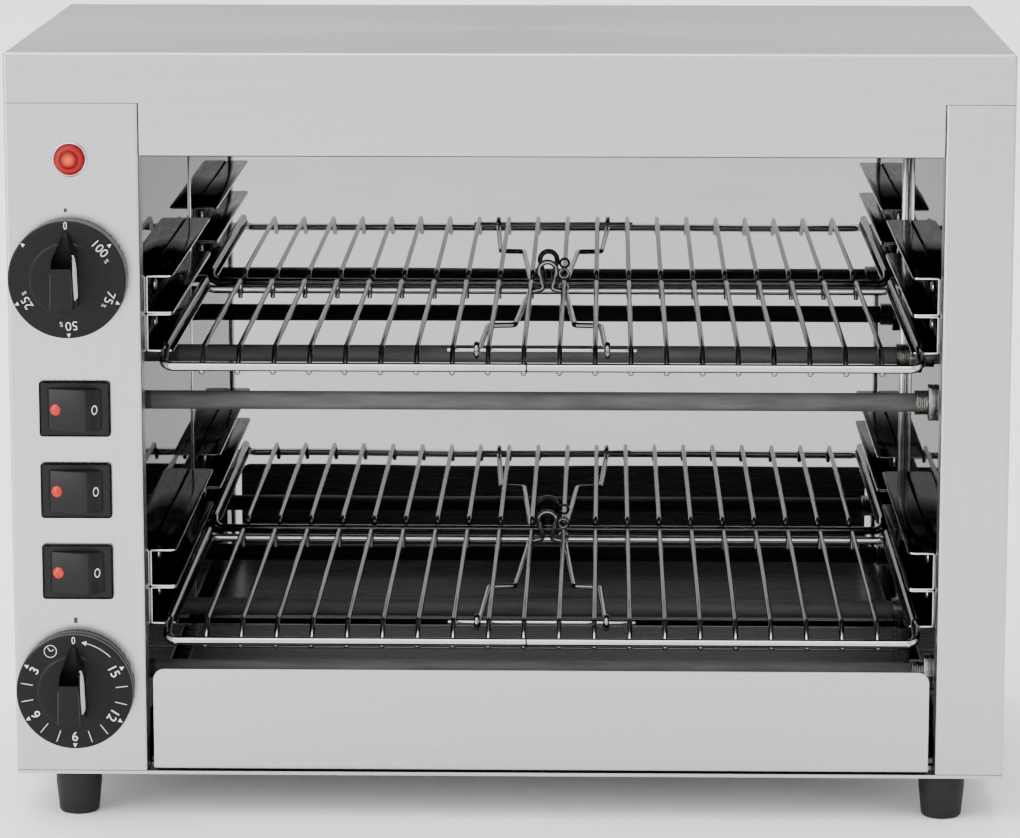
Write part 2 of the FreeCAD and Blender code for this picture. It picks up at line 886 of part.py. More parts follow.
def knob_grip(z, face):
    """Tapered bar with a five-sided outline, cut by a slope that runs down to its tip."""
    def outline(inset, proud):
        half_top = grip_shoulder_half - inset
        half_tail = grip_tail_half - inset
        corners = [
            (0, grip_tip),
            (half_top, grip_shoulder - inset / 2),
            (half_tail, inset - grip_tail),
            (-half_tail, inset - grip_tail),
            (-half_top, grip_shoulder - inset / 2),
            (0, grip_tip),
        ]
        return Part.makePolygon([point(knob_axis_x + a, -proud, z + b) for a, b in corners])

    bar = Part.makeLoft([outline(0, face - knob_web / 2), outline(grip_draft, grip_proud)],
                        True, True)
    slope = [
        (grip_tip, face),
        (grip_slope_top, grip_proud),
        (grip_slope_top, 2 * grip_proud),
        (2 * grip_tip, 2 * grip_proud),
        (2 * grip_tip, face),
        (grip_tip, face),
    ]
    wedge = [point(knob_axis_x - knob_radius, -proud, z + up) for up, proud in slope]
    cutter = Part.Face(Part.makePolygon(wedge)).extrude(side_to_side * 2 * knob_radius)
    return bar.cut(cutter)


def shaft(z, proud):
    """Control shaft with a flat that keys it to the knob's hub."""
    start = point(knob_axis_x, sheet + shaft_into_body, z)
    end = point(knob_axis_x, -proud, z)
    flat = block(knob_axis_x - shaft_radius, knob_axis_x + shaft_radius, -proud,
                 -knob_gap, z + shaft_flat, z + 2 * shaft_radius)
    return rod(start, end, shaft_radius).cut(flat)


def knob_shaft(z):
    return shaft(z, knob_gap + knob_disc - knob_web)


def shaft_bore(z):
    start = point(knob_axis_x, -sheet, z)
    end = point(knob_axis_x, sheet + shaft_into_body + hole_gap, z)
    return rod(start, end, shaft_radius + shaft_gap)


def tab(x, depth, z):
    """Push-on terminal blade that points to the back."""
    return block(x - tab_thickness / 2, x + tab_thickness / 2, depth, depth + tab_length,
                 z - tab_width / 2, z + tab_width / 2)


def power_regulator():
    half = regulator_size / 2
    back = sheet + regulator_depth
    body = block(knob_axis_x - half, knob_axis_x + half, sheet, back,
                 power_z - half, power_z + half)
    bushing = rod(point(knob_axis_x, 0, power_z), point(knob_axis_x, 2 * sheet, power_z),
                  bushing_radius)
    offset = half / 2
    tabs = [tab(knob_axis_x + a * offset, back, power_z + b * offset)
            for a in (-1, 1) for b in (-1, 1)]
    body = body.multiFuse([bushing] + tabs).cut(shaft_bore(power_z))
    return body.removeSplitter()


def timer_body():
    back = sheet + timer_body_depth
    rim = timer_body_radius
    profile = [(0, 0), (bushing_radius, 0), (bushing_radius, sheet), (rim, sheet),
               (rim, back - 3 * sheet), (rim - 3 * sheet, back), (0, back)]
    body = turned(profile, point(knob_axis_x, 0, timer_z), front_to_back)
    tabs = [tab(knob_axis_x + a * rim / 2, back, timer_z) for a in (-1, 1)]
    return body.multiFuse(tabs).cut(shaft_bore(timer_z)).removeSplitter()


def centred_block(x, z, length, height, depth_low, depth_high):
    return block(x - length / 2, x + length / 2, depth_low, depth_high,
                 z - height / 2, z + height / 2)


def switch_housing(z):
    """Snap-in housing with its bezel, an open window and four terminal blades."""
    x = switch_centre_x
    bezel = centred_block(x, z, bezel_length, bezel_height, -bezel_proud, 0)
    corners = [edge for edge in bezel.Edges if runs_along(edge, front_to_back)]
    bezel = bezel.makeFillet(bezel_corner, corners)
    body = centred_block(x, z, switch_body_length, switch_body_height, 0, switch_body_depth)
    window = centred_block(x, z, window_length, window_height, -2 * bezel_proud,
                           window_depth - bezel_proud)
    tabs = [tab(x + a * switch_body_length / 3, switch_body_depth, z + b * window_height / 4)
            for a in (-1, 1) for b in (-1, 1)]
    housing = bezel.multiFuse([body] + tabs).cut(window)
    socket_half = window_height / 2 + rocker_pin_length
    pivot_depth = rocker_pivot - bezel_proud
    socket = rod(point(x, pivot_depth, z - socket_half), point(x, pivot_depth, z + socket_half),
                 rocker_pin_radius + pin_gap)
    return housing.cut(socket).removeSplitter()


def rocker_face_point(offset):
    """Height of the lamp-side face over the bezel at a distance left of the middle."""
    reach = window_length / 2 - rocker_gap
    left_x = -math.sqrt(reach ** 2 - (rocker_pivot + rocker_left_rise) ** 2)
    rise = (rocker_ridge_rise - rocker_left_rise) / (rocker_ridge_offset - left_x)
    return rocker_left_rise + rise * (-offset - left_x), rise


def rocker(z):
    """Rocker with a long lamp side and a short steep side, rounded about its pivot so that
    it clears the window, with a pivot pin at top and bottom."""
    x = switch_centre_x
    low = z - window_height / 2 + rocker_gap
    height = window_height - 2 * rocker_gap
    reach = window_length / 2 - rocker_gap
    pivot_depth = rocker_pivot - bezel_proud
    left_rise, slope = rocker_face_point(reach)
    right_x = math.sqrt(reach ** 2 - (rocker_pivot - rocker_right_sink) ** 2)
    fall = (rocker_ridge_rise + rocker_right_sink) / (right_x - rocker_ridge_offset)
    right_rise = rocker_ridge_rise - fall * (reach - rocker_ridge_offset)
    profile = [
        (-reach, left_rise),
        (rocker_ridge_offset, rocker_ridge_rise),
        (reach, right_rise),
        (reach, -rocker_pivot),
        (rocker_keel_half, -rocker_pivot - rocker_keel),
        (-rocker_keel_half, -rocker_pivot - rocker_keel),
        (-reach, -rocker_pivot),
        (-reach, left_rise),
    ]
    outline = [point(x + a, -bezel_proud - rise, low) for a, rise in profile]
    body = Part.Face(Part.makePolygon(outline)).extrude(upwards * height)
    body = body.common(Part.makeCylinder(reach, height, point(x, pivot_depth, low), upwards))
    pin_low = point(x, pivot_depth, low - rocker_pin_length)
    pin = rod(pin_low, pin_low + upwards * (height + 2 * rocker_pin_length), rocker_pin_radius)
    return body.fuse(pin).cut(rocker_lens(z)).removeSplitter()


def rocker_lens(z):
    """Round red lens set square into the lamp side of the rocker."""
    rise, slope = rocker_face_point(lens_offset)
    outwards = FreeCAD.Vector(-slope, -1, 0).normalize()
    origin = point(switch_centre_x - lens_offset, -bezel_proud - rise, z)
    profile = [(0, -lens_seat), (lens_radius, -lens_seat), (lens_radius, 0),
               (lens_shoulder_radius, lens_shoulder_rise), (0, lens_rise)]
    return turned(profile, origin, outwards)


def pilot_axis_point():
    return point(pilot_centre_x, 0, pilot_z)


def pilot_bezel():
    profile = [(pilot_lens_radius, 0), (pilot_ring_radius, 0),
               (pilot_ring_radius - pilot_ring_proud / 3, pilot_ring_proud),
               (pilot_lens_radius, pilot_ring_proud)]
    return turned(profile, pilot_axis_point(), front_to_back * -1)


def pilot_lens():
    """Domed red lens, a cap with its rounded front made of short cones."""
    low = pilot_ring_proud
    rise = pilot_lens_proud - low
    profile = [(0, 0), (pilot_lens_radius, 0), (pilot_lens_radius, low)]
    for number in range(1, pilot_lens_steps):
        angle = math.radians(90 * number / pilot_lens_steps)
        profile.append((pilot_lens_radius * math.cos(angle), low + rise * math.sin(angle)))
    profile.append((0, pilot_lens_proud))
    return turned(profile, pilot_axis_point(), front_to_back * -1)


def pilot_body():
    back = pilot_body_depth
    nut = pilot_body_radius + 2 * sheet
    profile = [(0, 0), (pilot_body_radius, 0), (pilot_body_radius, sheet), (nut, sheet),
               (nut, 4 * sheet), (pilot_body_radius, 4 * sheet), (pilot_body_radius, back),
               (0, back)]
    body = turned(profile, pilot_axis_point(), front_to_back)
    tabs = [tab(pilot_centre_x + a * pilot_body_radius / 2, back, pilot_z) for a in (-1, 1)]
    return body.multiFuse(tabs).removeSplitter()


# Feet, mains inlet and fasteners

def feet():
    profile = [
        (0, foot_recess_depth),
        (foot_recess_radius, foot_recess_depth),
        (foot_recess_radius, 0),
        (foot_bottom_radius - foot_edge, 0),
        (foot_bottom_radius - foot_edge_break, foot_edge_break),
        (foot_bottom_radius, foot_edge),
        (foot_top_radius, base_z - foot_straight),
        (foot_top_radius, base_z),
        (0, base_z),
    ]
    solids = []
    for x, depth in foot_places():
        foot = turned(profile, point(x, depth, 0), upwards)
        solids.append(foot.cut(rod(point(x, depth, 0), point(x, depth, base_z),
                                   foot_screw_radius)))
    return Part.makeCompound(solids)


def foot_screws():
    screws = []
    head_low = foot_recess_depth - foot_screw_head
    for x, depth in foot_places():
        head = rod(point(x, depth, head_low), point(x, depth, foot_recess_depth),
                   foot_screw_head_radius)
        shank = rod(point(x, depth, foot_recess_depth),
                    point(x, depth, base_z + sheet + foot_screw_reach), foot_screw_radius)
        screws.append(head.fuse(shank).removeSplitter())
    return Part.makeCompound(screws)


def case_screws():
    screws = []
    places = [(x, z, mirror_depth + sheet) for x, z in panel_screw_places()]
    places += [(x, z, cabinet_depth) for x, z in cover_screw_places()]
    for x, z, seat in places:
        profile = [(0, -screw_reach), (screw_radius, -screw_reach), (screw_radius, 0),
                   (screw_head_radius, 0), (screw_crown_radius, screw_head_height),
                   (0, screw_head_height)]
        screws.append(turned(profile, point(x, seat, z), front_to_back))
    return Part.makeCompound(screws)


def cable_gland():
    """Mains inlet: a hexagon against the back panel, a tapered cap and a nut inside."""
    seat = mirror_depth + sheet
    tip = cabinet_depth + gland_proud
    origin = point(gland_centre_x, seat, gland_z)
    reach = tip - seat
    profile = [
        (gland_bore, -gland_inside - sheet),
        (gland_radius, -gland_inside - sheet),
        (gland_radius, gland_straight),
        (gland_tip_radius, reach),
        (gland_bore, reach),
    ]
    body = turned(profile, origin, front_to_back)
    outer = hexagon(origin, front_to_back, gland_flats, gland_hex)
    inner = hexagon(point(gland_centre_x, mirror_depth - gland_nut, gland_z), front_to_back,
                    gland_flats, gland_nut)
    bore = rod(point(gland_centre_x, 0, gland_z), point(gland_centre_x, tip, gland_z),
               gland_bore)
    return body.multiFuse([outer, inner]).cut(bore).removeSplitter()


def terminal_block():
    """Insulated block that joins the mains lead to the inside wiring."""
    x_low = gland_centre_x - block_length / 2
    depth_low = mirror_depth - gland_inside - 2 * block_depth
    z_low = base_z + sheet
    body = block(x_low, x_low + block_length, depth_low, depth_low + block_depth,
                 z_low, z_low + block_height)
    for pole in range(block_poles):
        x = x_low + block_length * (pole + 0.5) / block_poles
        top = point(x, depth_low + block_depth / 2, z_low + block_height)
        body = body.cut(rod(top, top - upwards * block_height / 2, block_pole_radius))
    return body


def rack_nodes():
    lower = {
        "rack_frame": rack_frame(),
        "rack_grid": rack_grid(),
        "rack_pivot_rod": rack_pivot_rod(),
        "rack_handle": rack_handle(),
    }
    nodes = {}
    for name, shape in lower.items():
        nodes["lower_" + name] = shape
        nodes["upper_" + name] = raised(shape, tier_pitch)
    return nodes


def guide_nodes():
    nodes = {}
    for tier, level in zip(("lower", "upper"), guide_levels):
        channel = guide_channel(level)
        for row, step in (("bottom", 0), ("top", guide_height)):
            left = raised(channel, step)
            nodes[tier + "_guide_left_" + row] = left
            nodes[tier + "_guide_right_" + row] = mirrored(left)
    return nodes


def element_nodes():
    tiers = ("bottom", "middle", "top")
    nodes = {}
    for tier, z in zip(tiers, element_levels):
        nodes[tier + "_front_element"] = heating_element(front_element, z)
        nodes[tier + "_rear_element"] = heating_element(rear_element, z)
    return nodes


def control_nodes():
    nodes = {
        "power_knob": knob(power_z, 0),
        "power_shaft": knob_shaft(power_z),
        "power_regulator": power_regulator(),
        "timer_knob": knob(timer_z, timer_knob_groove),
        "timer_shaft": knob_shaft(timer_z),
        "timer_body": timer_body(),
        "pilot_bezel": pilot_bezel(),
        "pilot_lens": pilot_lens(),
        "pilot_body": pilot_body(),
    }
    for number, z in enumerate(switch_levels, 1):
        nodes["switch_%d_housing" % number] = switch_housing(z)
        nodes["switch_%d_rocker" % number] = rocker(z)
        nodes["switch_%d_lens" % number] = rocker_lens(z)
    return nodes


def all_nodes():
    nodes = {
        "top_cover": top_cover(),
        "left_side_panel": left_side_panel(),
        "right_side_panel": side_panel(1, opening_right),
        "base_pan": base_pan(),
        "back_panel": back_panel(),
        "inner_wall_left": inner_wall_left(),
        "inner_wall_right": inner_wall_right(),
        "cavity_ceiling": cavity_ceiling(),
        "guide_rivets": guide_rivets(),
        "element_bushes": element_bushes(),
        "element_nuts": element_nuts(),
        "crumb_tray": crumb_tray(),
        "feet": feet(),
        "foot_screws": foot_screws(),
        "case_screws": case_screws(),
        "cable_gland": cable_gland(),
        "terminal_block": terminal_block(),
    }
    nodes.update(guide_nodes())
    nodes.update(element_nodes())
    nodes.update(rack_nodes())
    nodes.update(control_nodes())
    return nodes


os.makedirs("parts", exist_ok=True)
for name, shape in all_nodes().items():
    shape.exportStep("parts/" + name + ".step")
    print(name, len(shape.Solids), shape.isValid(), round(shape.Volume, 1))
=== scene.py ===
import math

import bmesh
import bpy
from mathutils import Matrix, Vector


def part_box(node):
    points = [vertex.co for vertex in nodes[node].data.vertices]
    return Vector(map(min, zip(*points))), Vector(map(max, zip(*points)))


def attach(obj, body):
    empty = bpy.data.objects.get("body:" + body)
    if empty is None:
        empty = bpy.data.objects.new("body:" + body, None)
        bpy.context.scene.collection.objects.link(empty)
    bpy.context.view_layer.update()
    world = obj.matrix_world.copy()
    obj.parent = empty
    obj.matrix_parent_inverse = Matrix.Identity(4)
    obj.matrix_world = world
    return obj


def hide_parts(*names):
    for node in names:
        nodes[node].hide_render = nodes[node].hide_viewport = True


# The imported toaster
# Every piece below is drawn in millimetres in the cabinet's own frame, with depths measured back
# from the cabinet's front, and is brought to metres when it is finished.
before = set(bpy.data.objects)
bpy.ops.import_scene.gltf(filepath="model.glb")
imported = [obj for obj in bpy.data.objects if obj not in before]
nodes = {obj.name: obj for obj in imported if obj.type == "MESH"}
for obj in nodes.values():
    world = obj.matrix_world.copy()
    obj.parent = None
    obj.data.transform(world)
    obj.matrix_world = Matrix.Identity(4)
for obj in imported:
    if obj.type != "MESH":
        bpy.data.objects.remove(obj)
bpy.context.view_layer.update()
front_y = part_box("left_side_panel")[0].y * 1000
middle_x = sum(corner.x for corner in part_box("lower_rack_frame")) * 500


# Brushed cabinet sheets
# The cover, the side panels with their front columns, the base pan and the crumb tray are folded
# from 1 mm stainless sheet with a fine satin grain. Screws hold the cover and the panels.
def new_finish(name):
    """A new material with its tree and its shader."""
    material = bpy.data.materials.new(name)
    material.use_nodes = True
    return material, material.node_tree, material.node_tree.nodes["Principled BSDF"]


def mottle(tree, scale=1.0, stretch=(1, 1, 1), detail=2.0):
    """Noise fixed to the piece, drawn out along the axes whose number is small."""
    place = tree.nodes.new("ShaderNodeTexCoord")
    stretched = tree.nodes.new("ShaderNodeMapping")
    stretched.inputs["Scale"].default_value = stretch
    noise = tree.nodes.new("ShaderNodeTexNoise")
    noise.inputs["Scale"].default_value = scale
    noise.inputs["Detail"].default_value = detail
    tree.links.new(place.outputs["Object"], stretched.inputs["Vector"])
    tree.links.new(stretched.outputs["Vector"], noise.inputs["Vector"])
    return noise.outputs["Fac"]


def spread(tree, source, low, high):
    """A mottle drawn out between two limits."""
    limits = tree.nodes.new("ShaderNodeMapRange")
    limits.inputs["From Min"].default_value = 0.3
    limits.inputs["From Max"].default_value = 0.7
    limits.inputs["To Min"].default_value = low
    limits.inputs["To Max"].default_value = high
    tree.links.new(source, limits.inputs["Value"])
    return limits.outputs["Result"]


def tint(tree, source, dark, light):
    """A colour that goes from dark to light with a mottle."""
    ramp = tree.nodes.new("ShaderNodeValToRGB")
    ramp.color_ramp.elements[0].position = 0.3
    ramp.color_ramp.elements[0].color = (*dark, 1)
    ramp.color_ramp.elements[1].position = 0.7
    ramp.color_ramp.elements[1].color = (*light, 1)
    tree.links.new(source, ramp.inputs["Fac"])
    return ramp.outputs["Color"]


def emboss(tree, shader, source, depth):
    """Gives the surface a relief of so many metres."""
    bump = tree.nodes.new("ShaderNodeBump")
    bump.inputs["Distance"].default_value = depth
    tree.links.new(source, bump.inputs["Height"])
    tree.links.new(bump.outputs["Normal"], shader.inputs["Normal"])


def speckled(name, grain, dark, light, gloss, settings=None, relief=0.0):
    """A finish whose colour and gloss follow one mottle. The settings are the same all over."""
    material, tree, shader = new_finish(name)
    source = mottle(tree, **grain)
    for setting, value in (settings or {}).items():
        shader.inputs[setting].default_value = value
    tree.links.new(tint(tree, source, dark, light), shader.inputs["Base Color"])
    tree.links.new(spread(tree, source, *gloss), shader.inputs["Roughness"])
    if relief:
        emboss(tree, shader, source, relief)
    return material


def grey(level):
    return (level, level, level)


def metal(dulling=1.0):
    """Settings of bare metal. Dulling holds back the glare that it shows at a low angle."""
    return {"Metallic": 1.0, "Specular Tint": (*grey(dulling), 1)}


def brushed_steel(name, grain):
    """Satin stainless, with grain lines in its colour, gloss and surface."""
    return speckled(name, {"stretch": grain, "detail": 3.0}, grey(0.475), grey(0.495),
                    (0.25, 0.30), {**metal(0.6), "Anisotropic": 0.35}, 0.0000008)


def dress(material, *names):
    """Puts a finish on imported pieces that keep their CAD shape."""
    for name in names:
        for slot in nodes[name].material_slots:
            slot.material = material


def painted_shade_behind(material, depth, colour):
    """Darkens a sheet from a depth on: painted shade inside the crumb tray."""
    tree = material.node_tree
    shader = tree.nodes["Principled BSDF"]
    clean = shader.inputs["Base Color"].links[0].from_socket
    place = tree.nodes.new("ShaderNodeTexCoord")
    parts = tree.nodes.new("ShaderNodeSeparateXYZ")
    reach = tree.nodes.new("ShaderNodeMapRange")
    reach.inputs["From Min"].default_value = (front_y + depth) / 1000
    reach.inputs["From Max"].default_value = (front_y + depth + 0.3) / 1000
    blend = tree.nodes.new("ShaderNodeMix")
    blend.data_type = "RGBA"
    tree.links.new(place.outputs["Object"], parts.inputs["Vector"])
    tree.links.new(parts.outputs["Y"], reach.inputs["Value"])
    tree.links.new(reach.outputs["Result"], blend.inputs["Factor"])
    for socket in blend.inputs:
        if socket.type == "RGBA" and socket.name == "A":
            tree.links.new(clean, socket)
        if socket.type == "RGBA" and socket.name == "B":
            socket.default_value = (*colour, 1)
    mixed = next(socket for socket in blend.outputs if socket.type == "RGBA")
    tree.links.new(mixed, shader.inputs["Base Color"])
    return material


dress(brushed_steel("Satin sheet, grain across", (12, 1400, 1400)), "top_cover")
# The tray's inside is darker from 0.5 mm behind its front: painted shade.
dress(painted_shade_behind(brushed_steel("Satin sheet of the tray, painted shade inside", (12, 1400, 1400)), 0.5,
                   (0.25, 0.25, 0.247)), "crumb_tray")
dress(brushed_steel("Satin sheet, grain upright", (1400, 1400, 12)),
      "left_side_panel", "right_side_panel")
dress(brushed_steel("Satin sheet of the base", (14, 900, 900)), "base_pan")


# Mirror-polished cavity
# The side walls, the ceiling and the back panel are polished sheet that throws the heat back.
# Their faint waves and wiping marks bend what they mirror.
def polished_steel(name, polish, wave):
    material = speckled(name, {"stretch": polish, "detail": 4.0}, grey(0.355), grey(0.37),
                        (0.008, 0.022), metal(0.5))
    tree = material.node_tree
    emboss(tree, tree.nodes["Principled BSDF"], mottle(tree, 7.0, detail=1.0), wave)
    return material


dress(polished_steel("Polished side sheet", (60, 60, 60), 0.0002),
      "inner_wall_left", "inner_wall_right", "cavity_ceiling")
dress(polished_steel("Polished back sheet", (25, 60, 60), 0.00025), "back_panel")
# Rolled and cut edges get a lighter steel than the sheets around them: a painted highlight.
edge_highlight_steel = speckled("Bright rolled edge", {"scale": 200.0}, grey(0.62), grey(0.70),
                       (0.14, 0.22), metal())


# Rack guides and their rivets
# Two folded channels of dulled strip, one on top of the other, stand at each side of each tier and
# open to the cavity. The strip's dark colour is painted shade, its cut edges have a painted
# highlight, and steel rivets hold each guide to the wall.
def turned(profile, steps=48):
    """Spins (radius, height) pairs round the Z axis into a closed shape."""
    part = bmesh.new()
    corners = [part.verts.new((radius, 0, height)) for radius, height in profile]
    edges = [part.edges.new(pair) for pair in zip(corners, corners[1:])]
    bmesh.ops.spin(part, geom=corners + edges, cent=(0, 0, 0), axis=(0, 0, 1),
                   angle=math.tau, steps=steps, use_merge=True)
    bmesh.ops.remove_doubles(part, verts=part.verts, dist=0.0001)
    bmesh.ops.recalc_face_normals(part, faces=part.faces)
    return part


def join(whole, part, place=Matrix.Identity(4)):
    """Adds a part to the piece at its place, and drops the part's own bmesh."""
    part.transform(place)
    carrier = bpy.data.meshes.new("carrier")
    part.to_mesh(carrier)
    part.free()
    whole.from_mesh(carrier)
    bpy.data.meshes.remove(carrier)


def at(x, depth, z):
    """A point by its depth behind the cabinet's front."""
    return Vector((x, front_y + depth, z))


def facing(x, depth, z, way):
    """A place whose local Z points to the front, the back, the left, the right or down."""
    turns = {"front": (90, "X"), "back": (-90, "X"), "left": (-90, "Y"), "right": (90, "Y"),
             "down": (180, "X")}
    angle, axis = turns[way]
    return Matrix.Translation(at(x, depth, z)) @ Matrix.Rotation(math.radians(angle), 4, axis)


def finish_piece(name, whole, material, body, slot, *replaced, smooth=35):
    """Brings a piece to metres, smooths it but for its sharp edges, and ties it to its body."""
    whole.transform(Matrix.Scale(0.001, 4))
    mesh = bpy.data.meshes.new(name)
    whole.to_mesh(mesh)
    whole.free()
    mesh.shade_smooth()
    mesh.set_sharp_from_angle(angle=math.radians(smooth))
    mesh.materials.append(material)
    piece = bpy.data.objects.new(name, mesh)
    bpy.context.scene.collection.objects.link(piece)
    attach(piece, body)
    if replaced:
        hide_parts(*replaced)
    return piece


def dome(radius, rise, steps=5):
    """Profile of a low dome, from its rim up to its crown."""
    angles = [math.radians(90 * step / steps) for step in range(steps + 1)]
    return [(radius * math.cos(angle), rise * math.sin(angle)) for angle in angles]


rivet_steel = speckled("Rivet steel", {"scale": 900.0}, grey(0.45), (0.62, 0.62, 0.61),
                       (0.18, 0.34), metal())
left_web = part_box("lower_guide_left_bottom")[0].x * 1000
right_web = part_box("lower_guide_right_bottom")[1].x * 1000
rivet_head = [(1.6, -2.8), *[(radius, 0.8 + rise) for radius, rise in dome(2.8, 1.1)]]
rivets = bmesh.new()
for tier in ("lower", "upper"):
    for row in ("bottom", "top"):
        low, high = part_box(f"{tier}_guide_left_{row}")
        height = (low.z + high.z) * 500
        for depth in (62.0, 188.5):
            join(rivets, turned(rivet_head, 24), facing(left_web, depth, height, "right"))
            join(rivets, turned(rivet_head, 24), facing(right_web, depth, height, "left"))
finish_piece("rivet_heads", rivets, rivet_steel, "cabinet", "fastener", "guide_rivets")


def corners_of(made):
    """The corners among what an operator made."""
    return [item for item in made if isinstance(item, bmesh.types.BMVert)]


def draw_out(part, faces, step):
    """Extrudes faces by a step. Returns the moved faces and their corners."""
    made = bmesh.ops.extrude_face_region(part, geom=faces)["geom"]
    corners = corners_of(made)
    bmesh.ops.translate(part, verts=corners, vec=step)
    return [item for item in made if isinstance(item, bmesh.types.BMFace)], corners


def soften(part, width, angle=30, segments=2):
    """Rounds every edge that turns by more than the angle."""
    sharp = [edge for edge in part.edges
             if edge.is_manifold and edge.calc_face_angle(0) > math.radians(angle)]
    bmesh.ops.bevel(part, geom=sharp, offset=width, offset_type="OFFSET", segments=segments,
                    profile=0.5, affect="EDGES", material=-1, clamp_overlap=True)


def round_edges(part, chosen, radius, segments):
    """Rounds the edges whose two ends pass the test."""
    bmesh.ops.bevel(part, geom=[edge for edge in part.edges if chosen(*edge.verts)],
                    offset=radius, offset_type="OFFSET", segments=segments, profile=0.5,
                    affect="EDGES", material=-1)


def channel(wide, run, tall, strip):
    """Folded strip along Y, its web at X 0 and its two flanges' free corners rounded."""
    part = bmesh.new()
    outline = [(wide, 0), (0, 0), (0, tall), (wide, tall), (wide, tall - strip),
               (strip, tall - strip), (strip, strip), (wide, strip)]
    corners = [part.verts.new((x, 0, z)) for x, z in outline]
    edges = [part.edges.new(pair) for pair in zip(corners, corners[1:] + corners[:1])]
    base = bmesh.ops.contextual_create(part, geom=edges)["faces"]
    draw_out(part, base, (0, run, 0))
    bmesh.ops.recalc_face_normals(part, faces=part.faces)
    round_edges(part, lambda a, b: min(a.co.x, b.co.x) > wide - 0.01
                and abs(a.co.y - b.co.y) < 0.01, corner_radius, 5)
    round_edges(part, lambda a, b: max(a.co.x, b.co.x) < 0.01 and abs(a.co.y - b.co.y) > 9,
                fold_radius, 4)
    soften(part, 0.22, 40)
    for face in part.faces:
        across = abs(face.normal.z) < 0.5
        at_rim = face.calc_center_median().x > wide - corner_radius - 0.1
        face.material_index = int(across and (abs(face.normal.y) > 0.5 or at_rim))
    return part


corner_radius = 3.0
fold_radius = 1.1
strip_thickness = 0.8
# The strip's very dark steel is painted shade for the dark cavity that its polish mirrors.
shaded_guide_finish = speckled("Dulled guide strip, darkened as painted shade", {"stretch": (500, 40, 500), "detail": 4.0},
                        grey(0.14), (0.19, 0.19, 0.188), (0.07, 0.14), metal(0.2))
for name in [node for node in nodes if "_guide_" in node]:
    low, high = (corner * 1000 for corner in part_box(name))
    strip = channel(high.x - low.x, high.y - low.y, high.z - low.z, strip_thickness)
    place = Matrix.Translation(low)
    if "right" in name:
        place = Matrix.Translation((high.x, low.y, low.z)) @ Matrix.Scale(-1, 4, (1, 0, 0))
    guide = bmesh.new()
    join(guide, strip, place)
    bmesh.ops.recalc_face_normals(guide, faces=guide.faces)
    finish_piece(f"{name}_strip", guide, shaded_guide_finish, "cabinet", "guide_steel",
                 name).data.materials.append(edge_highlight_steel)


# Rear corner edges
# The side walls' rear lips are rolled over, narrow at the left and wide at the right, so that each
# rear corner shows a bright rounded edge; its lighter steel is a painted highlight.
lip_height = 291
lip_foot = 33.5
lip_depth = 237.0
rolled = bmesh.new()
for x, radius in ((-162.0, 0.42), (189.0, 1.45)):
    edge = turned([(0, 0), (radius - 0.2, 0), (radius, 0.2), (radius, lip_height - 0.2),
                   (radius - 0.2, lip_height), (0, lip_height)], 32)
    edge.transform(Matrix.Diagonal((1, 0.5, 1, 1)))
    join(rolled, edge, Matrix.Translation(at(x, lip_depth, lip_foot)))
finish_piece("rear_corner_edges", rolled, edge_highlight_steel, "cabinet", "polished_steel")


# Painted joint shade
# A thin black strip sits in the joint between the cover and the column on each side, as painted
# shade in the gap.
joint_shade_black = speckled("Painted joint shade", {"scale": 900.0}, grey(0.008), grey(0.014),
                      (0.6, 0.75))
joint_z = 321.05
shade_strip = bmesh.new()
for low_x, high_x in ((-218.5, -162.5), (190.7, 218.5)):
    bmesh.ops.create_cube(
        shade_strip, size=1.0, matrix=Matrix.Translation(at((low_x + high_x) / 2, 0.65, joint_z))
        @ Matrix.Diagonal((high_x - low_x, 0.6, 0.28, 1)))
finish_piece("joint_sealant", shade_strip, joint_shade_black, "cabinet", "control_body")


# Heating elements
# Six sheathed tubes run from wall to wall. The sheath is dark oxidised alloy, with a thin terminal
# pin at each end, and each right end sits in a threaded bush with a nut against the wall.
element_depths = {"front": 50.0, "rear": 176.0}
tube_radius = 4.2
sheath = speckled("Oxidised element sheath",
                  {"scale": 260.0, "stretch": (0.15, 1, 1), "detail": 5.0},
                  (0.055, 0.054, 0.053), (0.095, 0.093, 0.091), (0.38, 0.52),
                  {"Specular IOR Level": 0.15}, 0.00002)
plated_brass = speckled("Plated brass", {"scale": 500.0}, (0.20, 0.20, 0.195),
                        (0.36, 0.355, 0.34), (0.22, 0.4), metal())


def hexagon(flats, height):
    part = bmesh.new()
    bmesh.ops.create_cone(part, cap_ends=True, segments=6, radius1=flats / math.sqrt(3),
                          radius2=flats / math.sqrt(3), depth=height,
                          matrix=Matrix.Translation((0, 0, height / 2)))
    soften(part, 0.45)
    return part


